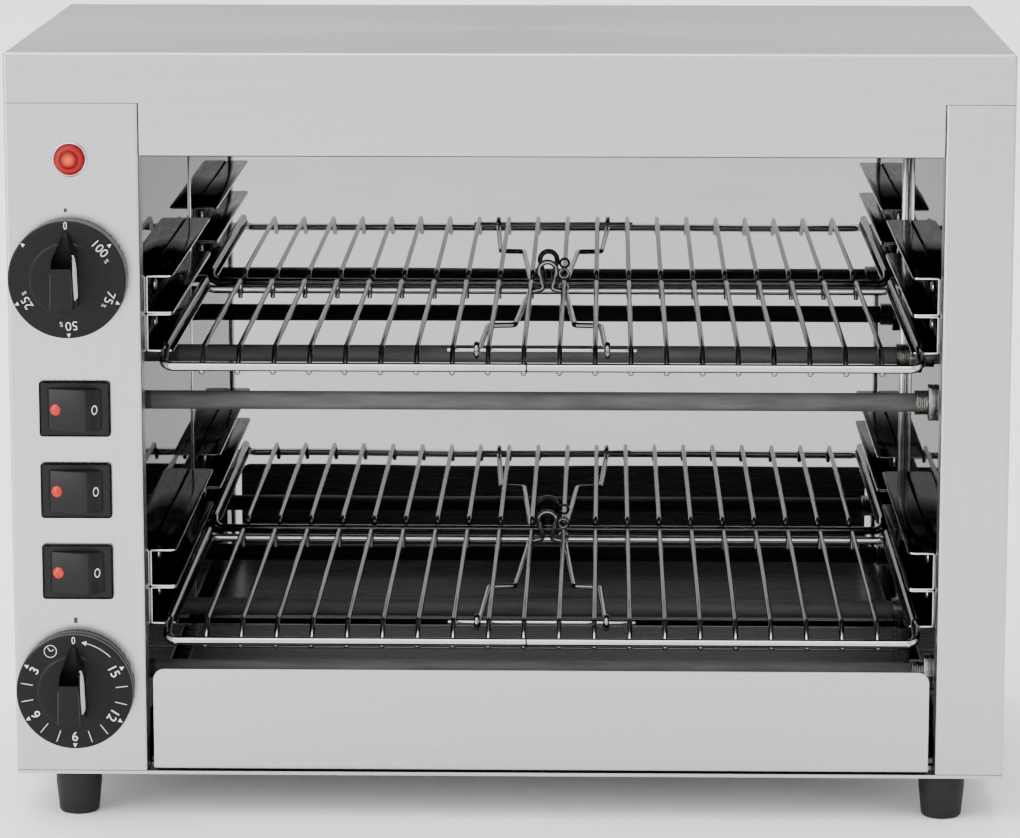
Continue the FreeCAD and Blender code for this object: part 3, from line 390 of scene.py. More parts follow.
tube_end = [(0, 0), (1.5, 0), (1.5, 8), (3.0, 8.2), (3.2, 12), (4.0, 12), (tube_radius, 12.4)]
bush_bore = tube_radius + 0.02
nut_height = 3.1
nut_flats = 15.4
wall_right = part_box("element_bushes")[0].x * 1000 + nut_height + 5.3
threads = [(5.4, -9.0)]
for turn in range(9):
    threads += [(5.75, -8.7 + turn), (5.3, -8.2 + turn)]
bush = [(bush_bore, -8.4), *threads, (5.3, 1), (7.5, 1), (7.7, 1.3), (7.7, 3), (5.75, 3),
        (5.75, 6), (bush_bore, 6)]
bushes = bmesh.new()
nuts = bmesh.new()
for level in ("bottom", "middle", "top"):
    for row, depth in element_depths.items():
        node = f"{level}_{row}_element"
        low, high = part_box(node)
        height = (low.z + high.z) * 500
        left, length = low.x * 1000, (high.x - low.x) * 1000
        tube = tube_end + [(radius, length - along) for radius, along in reversed(tube_end)]
        rod = bmesh.new()
        join(rod, turned(tube, 40), facing(left, depth, height, "right"))
        finish_piece(f"{node}_tube", rod, sheath, "cabinet", "element_sheath", node)
        join(bushes, turned(bush, 40), facing(wall_right, depth, height, "right"))
        join(nuts, hexagon(nut_flats, nut_height),
             facing(wall_right - nut_height, depth, height, "right"))
finish_piece("threaded_bushes", bushes, plated_brass, "cabinet", "plated_brass",
             "element_bushes")
finish_piece("lock_nuts", nuts, plated_brass, "cabinet", "plated_brass", "element_nuts")


# Rack frames
# One loop of 4 mm chromed wire for each tier, bent down at its front and back and butt-welded
# in the middle of the front run.
chrome = speckled("Bright chromed wire", {"scale": 120.0}, grey(0.46), grey(0.52),
                  (0.07, 0.12), metal(0.45))
side_z = {"lower": 84.5, "upper": 209.2}
frame_half = 167.7
frame_radius = 2.0
front_run = 15.0
front_drop = 6.8
back_drop = 4.8
weld_x = 7.5


def ring_edges(verts):
    group = set(verts)
    return list({edge for vert in verts for edge in vert.link_edges
                 if edge.other_vert(vert) in group})


def run_to(part, ring, step):
    """Draws a ring of wire on along a straight step."""
    ahead = corners_of(bmesh.ops.extrude_edge_only(part, edges=ring_edges(ring))["geom"])
    bmesh.ops.translate(part, verts=ahead, vec=step)
    return ahead


def swing(part, ring, centre, axis, angle, steps):
    """Bends a ring of wire round a centre."""
    return corners_of(bmesh.ops.spin(part, geom=list(ring) + ring_edges(ring), cent=centre,
                                     axis=axis, angle=angle, steps=steps)["geom_last"])


def round_off(part, ring, way, radius):
    """Closes a wire's end with a low dome."""
    middle = sum((vert.co for vert in ring), Vector()) / len(ring)
    for step, narrow in ((0.25, 0.9), (0.2, 0.65), (0.1, 0.3)):
        ring = run_to(part, ring, way * step * radius)
        middle = middle + way * step * radius
        now = max((vert.co - middle).length for vert in ring)
        bmesh.ops.scale(part, vec=Vector((1, 1, 1)) * (radius * narrow / now),
                        space=Matrix.Translation(-middle), verts=ring)
    bmesh.ops.contextual_create(part, geom=ring_edges(ring))


def wire(points, bends, radius, sides=12, steps=5, ends=(True, True)):
    """Round wire through the points with a bend at each corner. Returns it with its last ring."""
    part = bmesh.new()
    way = (points[1] - points[0]).normalized()
    stand = Matrix.Translation(points[0]) @ way.to_track_quat("Z", "Y").to_matrix().to_4x4()
    ring = bmesh.ops.create_circle(part, segments=sides, radius=radius, matrix=stand)["verts"]
    first = list(ring)
    place = points[0]
    for number, bend in enumerate(bends, 1):
        corner = points[number]
        back = (points[number - 1] - corner).normalized()
        ahead = (points[number + 1] - corner).normalized()
        half = back.angle(ahead) / 2
        entry = corner + back * (bend / math.tan(half))
        centre = corner + (back + ahead).normalized() * (bend / math.sin(half))
        ring = run_to(part, ring, entry - place)
        ring = swing(part, ring, centre, ahead.cross(back), math.pi - 2 * half, steps)
        place = corner + ahead * (bend / math.tan(half))
    ring = run_to(part, ring, points[-1] - place)
    if ends[0]:
        round_off(part, first, -way, radius)
    if ends[1]:
        round_off(part, ring, (points[-1] - points[-2]).normalized(), radius)
    return part, ring


def bead(stretch, place):
    """Weld bead, and where it goes."""
    part = bmesh.new()
    bmesh.ops.create_uvsphere(part, u_segments=10, v_segments=6, radius=1.0)
    part.transform(Matrix.Diagonal((*stretch, 1)))
    return part, Matrix.Translation(place)


for tier, level in side_z.items():
    low = level - front_drop
    corners = []
    for side in (1, -1):
        run = [at(middle_x + side * frame_half, depth, height) for depth, height in
               ((front_run, low), (28.0, level), (221.0, level), (226.0, level - back_drop))]
        corners += run if side == 1 else run[::-1]
    start = at(middle_x, front_run, low)
    bends = [5.0, 2.4, 2.4, 5.0, 5.0, 2.4, 2.4, 5.0]
    loop = bmesh.new()
    part, _ = wire([start, *corners, start], bends, frame_radius, 20, 8, (False, False))
    join(loop, part)
    bmesh.ops.remove_doubles(loop, verts=loop.verts, dist=0.01)
    join(loop, *bead((0.8, 2.4, 2.4), at(weld_x, front_run, low)))
    finish_piece(f"{tier}_rack_loop", loop, chrome, f"{tier}_rack", "rack_wire",
                 f"{tier}_rack_frame", smooth=50)


# Rack cross wires
# Twenty 2.4 mm wires are resistance-welded under the frame's front run and behind its back run.
# Their front ends slant down and stick out a little, and their back ends hook down.
grid_radius = 1.2
grid_count = 20
grid_half = 150.6
front_bend = 29.0
hook_depth = 222.92
seat = frame_radius + grid_radius - 0.12
slant_run = front_bend - front_run
slant_reach = math.hypot(slant_run, front_drop)
slant = math.atan2(front_drop, slant_run) + math.asin(seat / slant_reach)
tail = math.sqrt(slant_reach ** 2 - seat ** 2) + 0.7
for tier, level in side_z.items():
    grid = bmesh.new()
    for number in range(grid_count):
        x = middle_x - grid_half + 2 * grid_half * number / (grid_count - 1)
        part, _ = wire([
            at(x, front_bend - tail * math.cos(slant), level - tail * math.sin(slant)),
            at(x, front_bend, level),
            at(x, hook_depth, level),
            at(x, hook_depth, level - back_drop - 3.2),
        ], [2.5, 2.0], grid_radius, 12, 4)
        join(grid, part)
        join(grid, *bead((1.5, 1.5, 0.9), at(x, 15.6, level - front_drop - 1.9)))
        join(grid, *bead((1.5, 0.9, 1.5), at(x, 224.1, level - back_drop)))
    finish_piece(f"{tier}_rack_wires", grid, chrome, f"{tier}_rack", "rack_wire",
                 f"{tier}_rack_grid", smooth=50)


# Handle rods and folding wire handles
# A 2 mm rod lies across six wires at the front of each rack. The handle is one length of spring
# wire: an eye round the rod at each end, stepped legs, and an upright loop at the back.
spring_wire = speckled("Dark spring wire", {"scale": 150.0}, grey(0.17), (0.23, 0.23, 0.228),
                       (0.05, 0.10), metal(0.8))
rod_depth = 34.0
rod_radius = 1.0
handle_radius = 1.3
eye_radius = rod_radius + 0.3 + handle_radius
eye_x = middle_x + 29.2
eye_turn = math.radians(235)
pitch = 2 * grid_half / (grid_count - 1)
loop_radius = pitch / 2 - grid_radius - handle_radius - 1.2
handle_plane = hook_depth - grid_radius - 0.4 - handle_radius
for tier, level in side_z.items():
    rod_z = level - grid_radius - rod_radius + 0.12
    handle_z = rod_z - eye_radius
    rod = bmesh.new()
    reach = 2.5 * pitch + 2.4
    part, _ = wire([at(middle_x - reach, rod_depth, rod_z),
                    at(middle_x + reach, rod_depth, rod_z)], [], rod_radius, 14)
    join(rod, part)
    for number in range(6):
        x = middle_x + (number - 2.5) * pitch
        join(rod, *bead((1.3, 1.1, 0.7), at(x, rod_depth, level - grid_radius)))
    finish_piece(f"{tier}_rack_rod", rod, chrome, f"{tier}_rack", "rack_wire",
                 f"{tier}_rack_pivot_rod", smooth=50)

    loop_z = handle_z + 10.6
    neck = Vector((2.1, 0, handle_z + 1.4 - loop_z))
    lean = math.acos(loop_radius / neck.length) - math.atan2(-neck.z, neck.x)
    loop_centre = at(middle_x, handle_plane, loop_z)
    touch = loop_centre + Vector((math.cos(lean), 0, math.sin(lean))) * loop_radius
    eye_start = at(eye_x, rod_depth, handle_z)
    leg, ring = wire([
        eye_start,
        at(middle_x + 26.1, rod_depth + 84.0, handle_z),
        at(middle_x + 13.9, rod_depth + 85.5, handle_z),
        at(middle_x + 8.7, handle_plane, handle_z),
        at(middle_x + 2.1, handle_plane, handle_z + 1.4),
        touch,
    ], [3.0, 3.0, 2.0, 1.6], handle_radius, 16, 6, (False, False))
    swing(leg, ring, loop_centre, Vector((0, -1, 0)), math.radians(90) - lean, 10)
    stand = Matrix.Translation(eye_start) @ Matrix.Rotation(math.radians(90), 4, "X")
    ring = bmesh.ops.create_circle(leg, segments=16, radius=handle_radius, matrix=stand)["verts"]
    ring = swing(leg, ring, at(eye_x, rod_depth, rod_z), Vector((-1, 0, 0)), eye_turn, 18)
    round_off(leg, ring, Vector((0, math.cos(eye_turn), -math.sin(eye_turn))), handle_radius)
    bmesh.ops.mirror(leg, geom=leg.verts[:] + leg.edges[:] + leg.faces[:],
                     matrix=Matrix.Translation((-middle_x, 0, 0)), merge_dist=0.02, axis="X")
    bmesh.ops.remove_doubles(leg, verts=leg.verts, dist=0.01)
    bmesh.ops.recalc_face_normals(leg, faces=leg.faces)
    handle = bmesh.new()
    join(handle, leg)
    finish_piece(f"{tier}_wire_handle", handle, spring_wire, f"{tier}_handle", "rack_wire",
                 f"{tier}_rack_handle", smooth=50)


# Wire curls
# On each rack two small hoops of thin wire, one above the other, grip a cross wire at the right of
# the handle's loop.
curl_radius = 2.2
curl_wire = 0.65
around = [math.radians(30 * step) for step in range(13)]
for tier, level in side_z.items():
    curl = bmesh.new()
    for height in (level + 4.4, level - 2.2):
        hoop = turned([(curl_radius + curl_wire * math.cos(turn), curl_wire * math.sin(turn))
                       for turn in around], 28)
        join(curl, hoop, facing(middle_x + pitch / 2, hook_depth - curl_radius, height, "front"))
    finish_piece(f"{tier}_rack_curl", curl, spring_wire, f"{tier}_rack", "rack_wire", smooth=50)


# Control knobs
# Two moulded black knobs with a raised middle and a pointer grip. Their face carries printed
# numbers, and the timer's skirt has a groove round it.
moulding = speckled("Black moulded knob", {"scale": 1400.0, "detail": 3.0}, grey(0.003),
                    grey(0.006), (0.30, 0.42), {"Specular IOR Level": 0.16}, 0.00001)
# The white print also serves as the painted highlight on the grips' flanks.
print_and_highlight_ink = speckled("White pad print and painted highlight", {"scale": 2500.0}, grey(0.62), grey(0.80),
                     (0.4, 0.55))
# A lighter grey for the painted highlights along the grips' top edges.
edge_highlight_paint = speckled("Painted highlight along the grip's top edges", {"scale": 900.0}, grey(0.04), (0.075, 0.075, 0.074),
                    (0.3, 0.4))
knob_x = -192.5
knob_face = 10.2
knob_edge = 26.0
power_z = 244.8
timer_z = 60.0
grip_tip, grip_shoulder, grip_heel = 22.4, 12.0, -10.9
shoulder_half, heel_half = 5.3, 6.0
grip_rise = 18.8
grip_taper = 0.08
flare = ((1.2, 1, 1), (0.7, 0.93, 1), (0.6, 0.96, 1), (0.9, 0.98, 1))


def knob_disc(groove):
    """Hollow skirt with a raised middle, round a hub that the shaft enters."""
    profile = [(0, knob_face + 0.6), (15.6, knob_face + 0.6), (16.6, knob_face),
               (25.2, knob_face), (25.7, knob_face - 0.25), (25.9, knob_face - 0.8)]
    if groove:
        profile += [(25.9, 6.6), (24.9, 6.1), (24.9, 5.4), (25.95, 4.9)]
    profile += [(knob_edge, 1.5), (25.7, 1.2), (24.2, 1.2), (24.2, 7.8), (6.5, 7.8), (6.5, 1.2),
                (0, 1.2)]
    return turned(profile, 96)


def pointer_grip():
    """Bar with a pointed outline that flares into the disc, its top sinking away to its tip."""
    part = bmesh.new()
    outline = [(0, grip_tip), (-shoulder_half, grip_shoulder), (-heel_half, grip_heel),
               (heel_half, grip_heel), (shoulder_half, grip_shoulder)]
    base = bmesh.ops.contextual_create(
        part, geom=[part.verts.new((x, up, knob_face - 1.2)) for x, up in outline])["faces"]
    for rise, across, along in (*flare, (grip_rise, 1 - grip_taper, 1 - grip_taper)):
        base, top = draw_out(part, base, (0, 0, rise))
        bmesh.ops.scale(part, vec=(across, along, 1), verts=top)
    for up, height, steepness in ((8.0, 31.0, 54), (14.0, 22.8, 59)):
        slope = math.radians(steepness)
        cut = bmesh.ops.bisect_plane(
            part, geom=part.verts[:] + part.edges[:] + part.faces[:],
            plane_co=(0, up, height), plane_no=(0, math.sin(slope), math.cos(slope)),
            clear_outer=True)["geom_cut"]
        bmesh.ops.contextual_create(part, geom=[item for item in cut
                                                if isinstance(item, bmesh.types.BMEdge)])
    bmesh.ops.recalc_face_normals(part, faces=part.faces)
    soften(part, 0.6, 35, 3)
    return part


def grip_painted_highlight():
    """Painted highlight: a pale blade on the grip's right flank, pointed at its upper end."""
    part = bmesh.new()
    blade = [(12.6, 21.6), (10.6, 17.6), (8.0, 15.2), (5.0, 13.8), (-6.2, 13.0), (-7.2, 13.8),
             (-7.4, 22.0), (-6.4, 23.6), (-2.0, 24.8), (5.0, 25.2), (9.6, 24.2)]
    corners = []
    for up, height in blade:
        inset = (height - knob_face - 2.2) / grip_rise * grip_taper
        corners.append(part.verts.new((grip_flank(up) * (1 - inset) + 0.05, up, height)))
    side = bmesh.ops.contextual_create(part, geom=corners)["faces"]
    bmesh.ops.triangulate(part, faces=side)
    draw_out(part, part.faces[:], (-0.6, 0, 0))
    bmesh.ops.recalc_face_normals(part, faces=part.faces)
    return part


def grip_flank(up):
    """Half the grip's width above the flare, at a height on the dial."""
    share = (up - grip_heel) / (grip_shoulder - grip_heel)
    return ((heel_half + (shoulder_half - heel_half) * share)
            * math.prod(across for rise, across, along in flare))


ink_depth = 0.04


def lettering(words, size, weight=0.0, narrow=0.82):
    """A number as a thin raised print, centred on its own outline."""
    curve = bpy.data.curves.new("lettering", "FONT")
    curve.body = words
    curve.size = size
    curve.offset = weight
    curve.extrude = ink_depth / 2
    text = bpy.data.objects.new("lettering", curve)
    mesh = bpy.data.meshes.new_from_object(text)
    part = bmesh.new()
    part.from_mesh(mesh)
    spots = [vert.co for vert in part.verts]
    middle = Vector([(min(spot[k] for spot in spots) + max(spot[k] for spot in spots)) / 2
                     for k in range(3)])
    part.transform(Matrix.Diagonal((narrow, 1, 1, 1)) @ Matrix.Translation(-middle))
    bpy.data.objects.remove(text)
    bpy.data.curves.remove(curve)
    bpy.data.meshes.remove(mesh)
    return part


def triangle(size):
    part = bmesh.new()
    bmesh.ops.create_cone(part, cap_ends=True, segments=3, radius1=size, radius2=size,
                          depth=ink_depth)
    part.transform(Matrix.Diagonal((0.85, 1, 1, 1)))
    return part


def stroke(length, width):
    part = bmesh.new()
    bmesh.ops.create_cube(part, size=1.0)
    part.transform(Matrix.Diagonal((width, length, ink_depth, 1)))
    return part


def hoop_mark(radius, width, tall=1.0):
    part = bmesh.new()
    for size in (radius, radius - width):
        bmesh.ops.create_circle(part, segments=40, radius=size)
    bmesh.ops.bridge_loops(part, edges=part.edges[:])
    part.transform(Matrix.Diagonal((1, tall, 1, 1)))
    return part


def spun(angle):
    return Matrix.Rotation(math.radians(angle), 4, "Z")


def round_dial(centre_z, angle, radius):
    """A place on a knob's face, turned so that up points outwards. Angles run clockwise."""
    return (facing(knob_x, -knob_face - 0.03, centre_z, "front") @ spun(-angle)
            @ Matrix.Translation((0, radius, 0)))


rim_rise = 30.75
for name, height, groove in (("power", power_z, False), ("timer", timer_z, True)):
    knob = bmesh.new()
    join(knob, knob_disc(groove), facing(knob_x, 0, height, "front"))
    join(knob, pointer_grip(), facing(knob_x, 0, height, "front"))
    finish_piece(f"{name}_dial_knob", knob, moulding, f"{name}_control", "knob_plastic",
                 f"{name}_knob", smooth=15)
    # Each grip's right flank gets a pale blade in the white print: a painted highlight.
    highlight_blade = bmesh.new()
    join(highlight_blade, grip_painted_highlight(), facing(knob_x, 0, height, "front"))
    finish_piece(f"{name}_grip_painted_highlight", highlight_blade, print_and_highlight_ink, f"{name}_control", "knob_plastic",
                 smooth=30)
    # Two thin lighter wires along each grip's top edges are painted highlights where light catches
    # them.
    edge_highlight_wires = bmesh.new()
    for side in (1, -1):
        heel, tip = (side * 4.55, -9.6, rim_rise), (side * 4.22, 5.2, rim_rise)
        rim, _ = wire([Vector(heel), Vector(tip)], [], 0.38, 10)
        join(edge_highlight_wires, rim, facing(knob_x, 0, height, "front"))
    finish_piece(f"{name}_grip_edge_highlights", edge_highlight_wires, edge_highlight_paint, f"{name}_control", "knob_plastic")

power_print = bmesh.new()
join(power_print, lettering("0", 4.9, -0.05, 0.72), round_dial(power_z, -0.5, 23.9))
for words, angle, radius, sign_angle, sign_radius in (
        ("100", 47.7, 20.3, 64.6, 19.5), ("75", 112.3, 20.3, 124.9, 19.6),
        ("50", 174.9, 20.4, 187.8, 19.7), ("25", 239.6, 20.2, 252.6, 19.5)):
    join(power_print, lettering(words, 5.6, -0.06, 1.02), round_dial(power_z, angle, radius))
    join(power_print, lettering("%", 2.9, -0.03), round_dial(power_z, sign_angle, sign_radius))
for angle in (51.2, 114.6, 178.6, 243.9, 309.2):
    join(power_print, triangle(1.15), round_dial(power_z, angle, 24.3))
finish_piece("power_dial_print", power_print, print_and_highlight_ink, "power_control", "knob_plastic",
             smooth=30)

timer_print = bmesh.new()
join(timer_print, lettering("0", 4.7, -0.04, 0.75), round_dial(timer_z, 0, 23.6))
for words, angle in (("3", 299.2), ("6", 239.2), ("9", 180.0), ("12", 122.6), ("15", 62.4)):
    join(timer_print, lettering(words, 5.9, 0.0, 1.0), round_dial(timer_z, angle, 20.2))
    join(timer_print, triangle(1.25), round_dial(timer_z, angle, 24.0))
for angle in (83.1, 103.5, 142.4, 161.4, 199.9, 219.7, 259.2, 279.5):
    join(timer_print, stroke(5.3, 0.27), round_dial(timer_z, angle, 21.3))
clock = round_dial(timer_z, 331.0, 21.2) @ spun(-29)
join(timer_print, hoop_mark(2.85, 0.25), clock)
for length, turn, reach in ((2.1, 35, 1.0), (1.6, -62, 0.8)):
    join(timer_print, stroke(length, 0.3),
         clock @ spun(turn) @ Matrix.Translation((0, reach, 0)))
arrow_radius = 22.9
for step in range(14):
    join(timer_print, stroke(0.95, 0.26),
         round_dial(timer_z, 15.6 + 2.2 * step, arrow_radius) @ spun(90))
join(timer_print, triangle(1.4), round_dial(timer_z, 12.6, arrow_radius) @ spun(90))
finish_piece("timer_dial_print", timer_print, print_and_highlight_ink, "timer_control", "knob_plastic",
             smooth=30)

panel_ink = speckled("Black panel print", {"scale": 2500.0}, grey(0.012), grey(0.03),
                     (0.35, 0.5))
index_marks = bmesh.new()
for x, height, length, width in ((knob_x - 1.2, power_z + 29.3, 1.7, 1.4),
                                 (knob_x, timer_z + 30.4, 2.5, 1.7)):
    join(index_marks, stroke(length, width), facing(x, -0.02, height, "front"))
finish_piece("index_marks", index_marks, panel_ink, "cabinet", "satin_steel")


# Control shafts and the bodies behind the column
# Plated steel shafts carry the knobs. The regulator, the timer and the lamp body are moulded in
# grey and black behind the column.
dress(speckled("Plated shaft", {"scale": 700.0}, (0.5, 0.5, 0.48), (0.65, 0.65, 0.63),
               (0.2, 0.35), metal()), "power_shaft", "timer_shaft")
dress(speckled("Phenolic control body", {"scale": 600.0, "detail": 4.0}, (0.03, 0.028, 0.026),
               (0.06, 0.056, 0.05), (0.45, 0.6)),
      "power_regulator", "timer_body", "pilot_body", "terminal_block")


# Rocker switches
# Three snap-in switches, each with a black bezel, a rocker that tilts about an upright pin, a
# round red lens in its long side and a printed ring on its short side.
switch_plastic = speckled("Black switch moulding", {"scale": 1800.0, "detail": 3.0},
                          grey(0.003), grey(0.006), (0.26, 0.38),
                          {"Specular IOR Level": 0.2}, 0.000008)
red_lens, tree, shader = new_finish("Red lens")
glow = mottle(tree, 500.0)
tree.links.new(tint(tree, glow, (0.34, 0.006, 0.006), (0.50, 0.016, 0.010)),
               shader.inputs["Base Color"])
shader.inputs["Roughness"].default_value = 0.08
shader.inputs["Specular IOR Level"].default_value = 0.3
switch_x = -191.0
bezel_rise = 1.8


def bezel(wide=31.5, tall=24.8, window_wide=24.8, window_tall=19.1, well=13.0):
    """Frame with rounded corners round an open well, drawn from a block. Its back is open."""
    part = bmesh.new()
    bmesh.ops.create_cube(part, size=1.0)
    part.transform(Matrix.Translation((0, 0, bezel_rise / 2))
                   @ Matrix.Diagonal((wide, tall, bezel_rise, 1)))
    round_edges(part, lambda a, b: abs(a.co.z - b.co.z) > 1.0, 1.6, 5)
    window = max(part.faces, key=lambda side: side.calc_center_median().z)
    bmesh.ops.inset_region(part, faces=[window], thickness=0.9, depth=0.0)
    bmesh.ops.inset_region(part, faces=[window], thickness=1.6, depth=-0.1)
    corners = list(window.verts)
    bmesh.ops.scale(part, vec=(window_wide / (max(v.co.x for v in corners) * 2),
                               window_tall / (max(v.co.y for v in corners) * 2), 1),
                    verts=corners)
    draw_out(part, [window], (0, 0, -well))
    seat = min(part.faces, key=lambda side: abs(side.calc_center_median().z))
    bmesh.ops.delete(part, geom=[window, seat], context="FACES_ONLY")
    soften(part, 0.3, 60, 2)
    return part


def rocker_shape(half=9.3):
    """Long hollowed lamp side, ridge and short steep side, drawn up from one outline."""
    outline = [(-11.5, 0.9), (-9.2, 1.75), (-5.5, 2.95), (-1.8, 4.1), (1.9, 5.15), (4.6, 5.85),
               (5.4, 5.95), (6.2, 5.3), (8.2, 2.9), (10.2, 0.9), (11.9, -0.55), (11.9, -5.0),
               (-11.9, -5.0)]
    part = bmesh.new()
    base = bmesh.ops.contextual_create(
        part, geom=[part.verts.new((x, -half, rise)) for x, rise in outline])["faces"]
    draw_out(part, base, (0, 2 * half, 0))
    bmesh.ops.recalc_face_normals(part, faces=part.faces)
    soften(part, 0.4, 60, 3)
    return part


lens_radius = 2.6
slope = math.atan2(5.1, 17.0)
for number in (1, 2, 3):
    low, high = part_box(f"switch_{number}_housing")
    height = (low.z + high.z) * 500
    place = facing(switch_x, 0, height, "front")
    housing = bmesh.new()
    join(housing, bezel(), place)
    finish_piece(f"switch_{number}_bezel", housing, switch_plastic, "cabinet", "switch_plastic")
    dress(switch_plastic, f"switch_{number}_housing")
    rocker = bmesh.new()
    join(rocker, rocker_shape(), place @ Matrix.Translation((0, 0, bezel_rise)))
    finish_piece(f"switch_{number}_paddle", rocker, switch_plastic, f"rocker_{number}",
                 "switch_plastic", f"switch_{number}_rocker")
    lens = bmesh.new()
    join(lens, turned([(0, -1.4), (lens_radius, -1.4), *dome(lens_radius, 1.0, 7)], 36),
         place @ Matrix.Translation((-8.3, 0, bezel_rise + 2.03))
         @ Matrix.Rotation(-slope, 4, "Y"))
    finish_piece(f"switch_{number}_jewel", lens, red_lens, f"rocker_{number}", "red_lens",
                 f"switch_{number}_lens", smooth=60)
    mark = bmesh.new()
    join(mark, hoop_mark(1.6, 0.42, 1.32),
         place @ Matrix.Translation((8.95, 0, bezel_rise + 2.2))
         @ Matrix.Rotation(0.80, 4, "Y"))
    finish_piece(f"switch_{number}_mark", mark, print_and_highlight_ink, f"rocker_{number}", "switch_plastic")


# Pilot lamp
# A domed red lens in a bright ring at the top of the column, with moulded facets inside it.
bright_ring = speckled("Bright lamp ring", {"scale": 800.0}, grey(0.6), grey(0.75),
                       (0.12, 0.22), metal())
pilot_x = -191.5
pilot_z = 296.5
lamp_ring = bmesh.new()
pilot_place = facing(pilot_x, 0, pilot_z, "front")
join(lamp_ring, turned([(6.8, 0), (7.35, 0), (7.35, 0.35), (7.8, 0.4), (7.75, 0.75),
                        (7.5, 1.2), (7.2, 1.4), (6.9, 1.3), (6.8, 1.0), (6.8, 0)], 72),
     pilot_place)
finish_piece("pilot_ring", lamp_ring, bright_ring, "cabinet", "bright_ring", "pilot_bezel")
lamp_lens, tree, shader = new_finish("Lit lamp lens")
place = tree.nodes.new("ShaderNodeTexCoord")
centred = tree.nodes.new("ShaderNodeMapping")
centred.inputs["Scale"].default_value = (140, 140, 140)
centred.inputs["Location"].default_value = at(pilot_x, -4.6, pilot_z) * -0.14
rings = tree.nodes.new("ShaderNodeTexGradient")
rings.gradient_type = "SPHERICAL"
tree.links.new(place.outputs["Object"], centred.inputs["Vector"])
tree.links.new(centred.outputs["Vector"], rings.inputs["Vector"])
glass = tree.nodes.new("ShaderNodeValToRGB")
for position, colour in ((0.12, (0.24, 0.005, 0.007)), (0.3, (0.30, 0.010, 0.012)),
                         (0.46, (0.09, 0.003, 0.003)), (0.62, (0.28, 0.014, 0.012)),
                         (0.8, (0.55, 0.05, 0.014))):
    stop = glass.color_ramp.elements.new(position)
    stop.color = (*colour, 1)
glass.color_ramp.elements[0].color = (0.12, 0.003, 0.003, 1)
glass.color_ramp.elements[-1].color = (0.70, 0.09, 0.02, 1)
tree.links.new(rings.outputs["Fac"], glass.inputs["Fac"])
tree.links.new(glass.outputs["Color"], shader.inputs["Base Color"])
tree.links.new(glass.outputs["Color"], shader.inputs["Emission Color"])
shader.inputs["Emission Strength"].default_value = 0.15
shader.inputs["Roughness"].default_value = 0.12
shader.inputs["Specular IOR Level"].default_value = 0.12
waffle = tree.nodes.new("ShaderNodeTexVoronoi")
waffle.inputs["Scale"].default_value = 900.0
tree.links.new(place.outputs["Object"], waffle.inputs["Vector"])
emboss(tree, shader, waffle.outputs["Distance"], 0.0001)
lamp = bmesh.new()
join(lamp, turned([(0, 0), (6.8, 0), (6.8, 1.2), (6.55, 1.9), (6.1, 2.5), (5.4, 3.05), (4.6, 3.4),
                   (4.2, 3.42), (3.9, 3.3), (3.6, 3.5), (3.2, 3.95), (2.4, 4.35), (1.3, 4.55),
                   (0, 4.6)], 72), pilot_place)
finish_piece("pilot_jewel", lamp, lamp_lens, "cabinet", "red_lens", "pilot_lens", smooth=60)


# Feet
# Four black rubber feet, slightly tapered, each held by a screw up through its recess.
rubber = speckled("Black rubber", {"scale": 350.0, "detail": 4.0}, grey(0.006),
                  (0.013, 0.013, 0.0125), (0.5, 0.68), {"Specular IOR Level": 0.2}, 0.00003)
foot_x = 193.8
foot_spots = [(x, depth) for x in (-foot_x, foot_x) for depth in (12.5, 227.5)]
foot_recess = 11
feet = bmesh.new()
for x, depth in foot_spots:
    foot = turned([(0, foot_recess), (4.6, foot_recess), (4.6, 0.4), (5.0, 0), (7.5, 0),
                   (8.3, 0.3), (8.8, 0.9), (9.0, 1.6), (10.25, 14), (10.25, 20), (0, 20)], 64)
    join(feet, foot, Matrix.Translation(at(x, depth, 0)))
finish_piece("rubber_feet", feet, rubber, "cabinet", "foot_rubber", "feet", smooth=40)


# Screws
# Pan-head steel screws hold the panels and the cover at the back, and one holds each foot.
screw_steel = speckled("Zinc-plated screw", {"scale": 900.0}, (0.48, 0.49, 0.50),
                       (0.66, 0.66, 0.65), (0.2, 0.36), metal())


def screw(shank, length, head, rise):
    """Pan-head screw with a cross recess, its head's seat at height 0."""
    part = turned([(0, -length), (shank - 0.5, -length), (shank, 0.5 - length), (shank, 0),
                   (head, 0), (head, rise * 0.3), *[(r, rise * 0.3 + h) for r, h in
                                                    dome(head - 0.05, rise * 0.7, 6)]], 40)
    slot_half, slot_reach = head * 0.11, head * 0.55
    for cut in (slot_half, slot_reach):
        for side in (1, -1):
            for way in ((1, 0, 0), (0, 1, 0)):
                bmesh.ops.bisect_plane(part, geom=part.verts[:] + part.edges[:] + part.faces[:],
                                       plane_co=Vector(way) * cut * side, plane_no=way)
    recess = []
    for face in part.faces:
        middle = face.calc_center_median()
        near, far = sorted((abs(middle.x), abs(middle.y)))
        if (face.normal.z > 0.3 and near < slot_half and far < slot_reach
                and middle.z > rise * 0.5):
            recess.append(face)
    draw_out(part, recess, (0, 0, -rise * 0.6))
    return part


panel_back = 239.0
case_spots = [(x, panel_back, height) for x in (-212.0, 212.0)
              for height in (49.8, 171.35, 292.9)]
case_spots += [(x, 240.0, 332.0) for x in (-150.0, 0.0, 150.0)]
case_heads = bmesh.new()
for spot in case_spots:
    join(case_heads, screw(1.7, 6.0, 3.5, 2.0), facing(*spot, "back"))
finish_piece("case_screw_heads", case_heads, screw_steel, "cabinet", "fastener", "case_screws")
foot_heads = bmesh.new()
for x, depth in foot_spots:
    join(foot_heads, screw(2.0, 15.0, 4.0, 3.0), facing(x, depth, foot_recess, "down"))
finish_piece("foot_screw_heads", foot_heads, screw_steel, "cabinet", "fastener", "foot_screws")


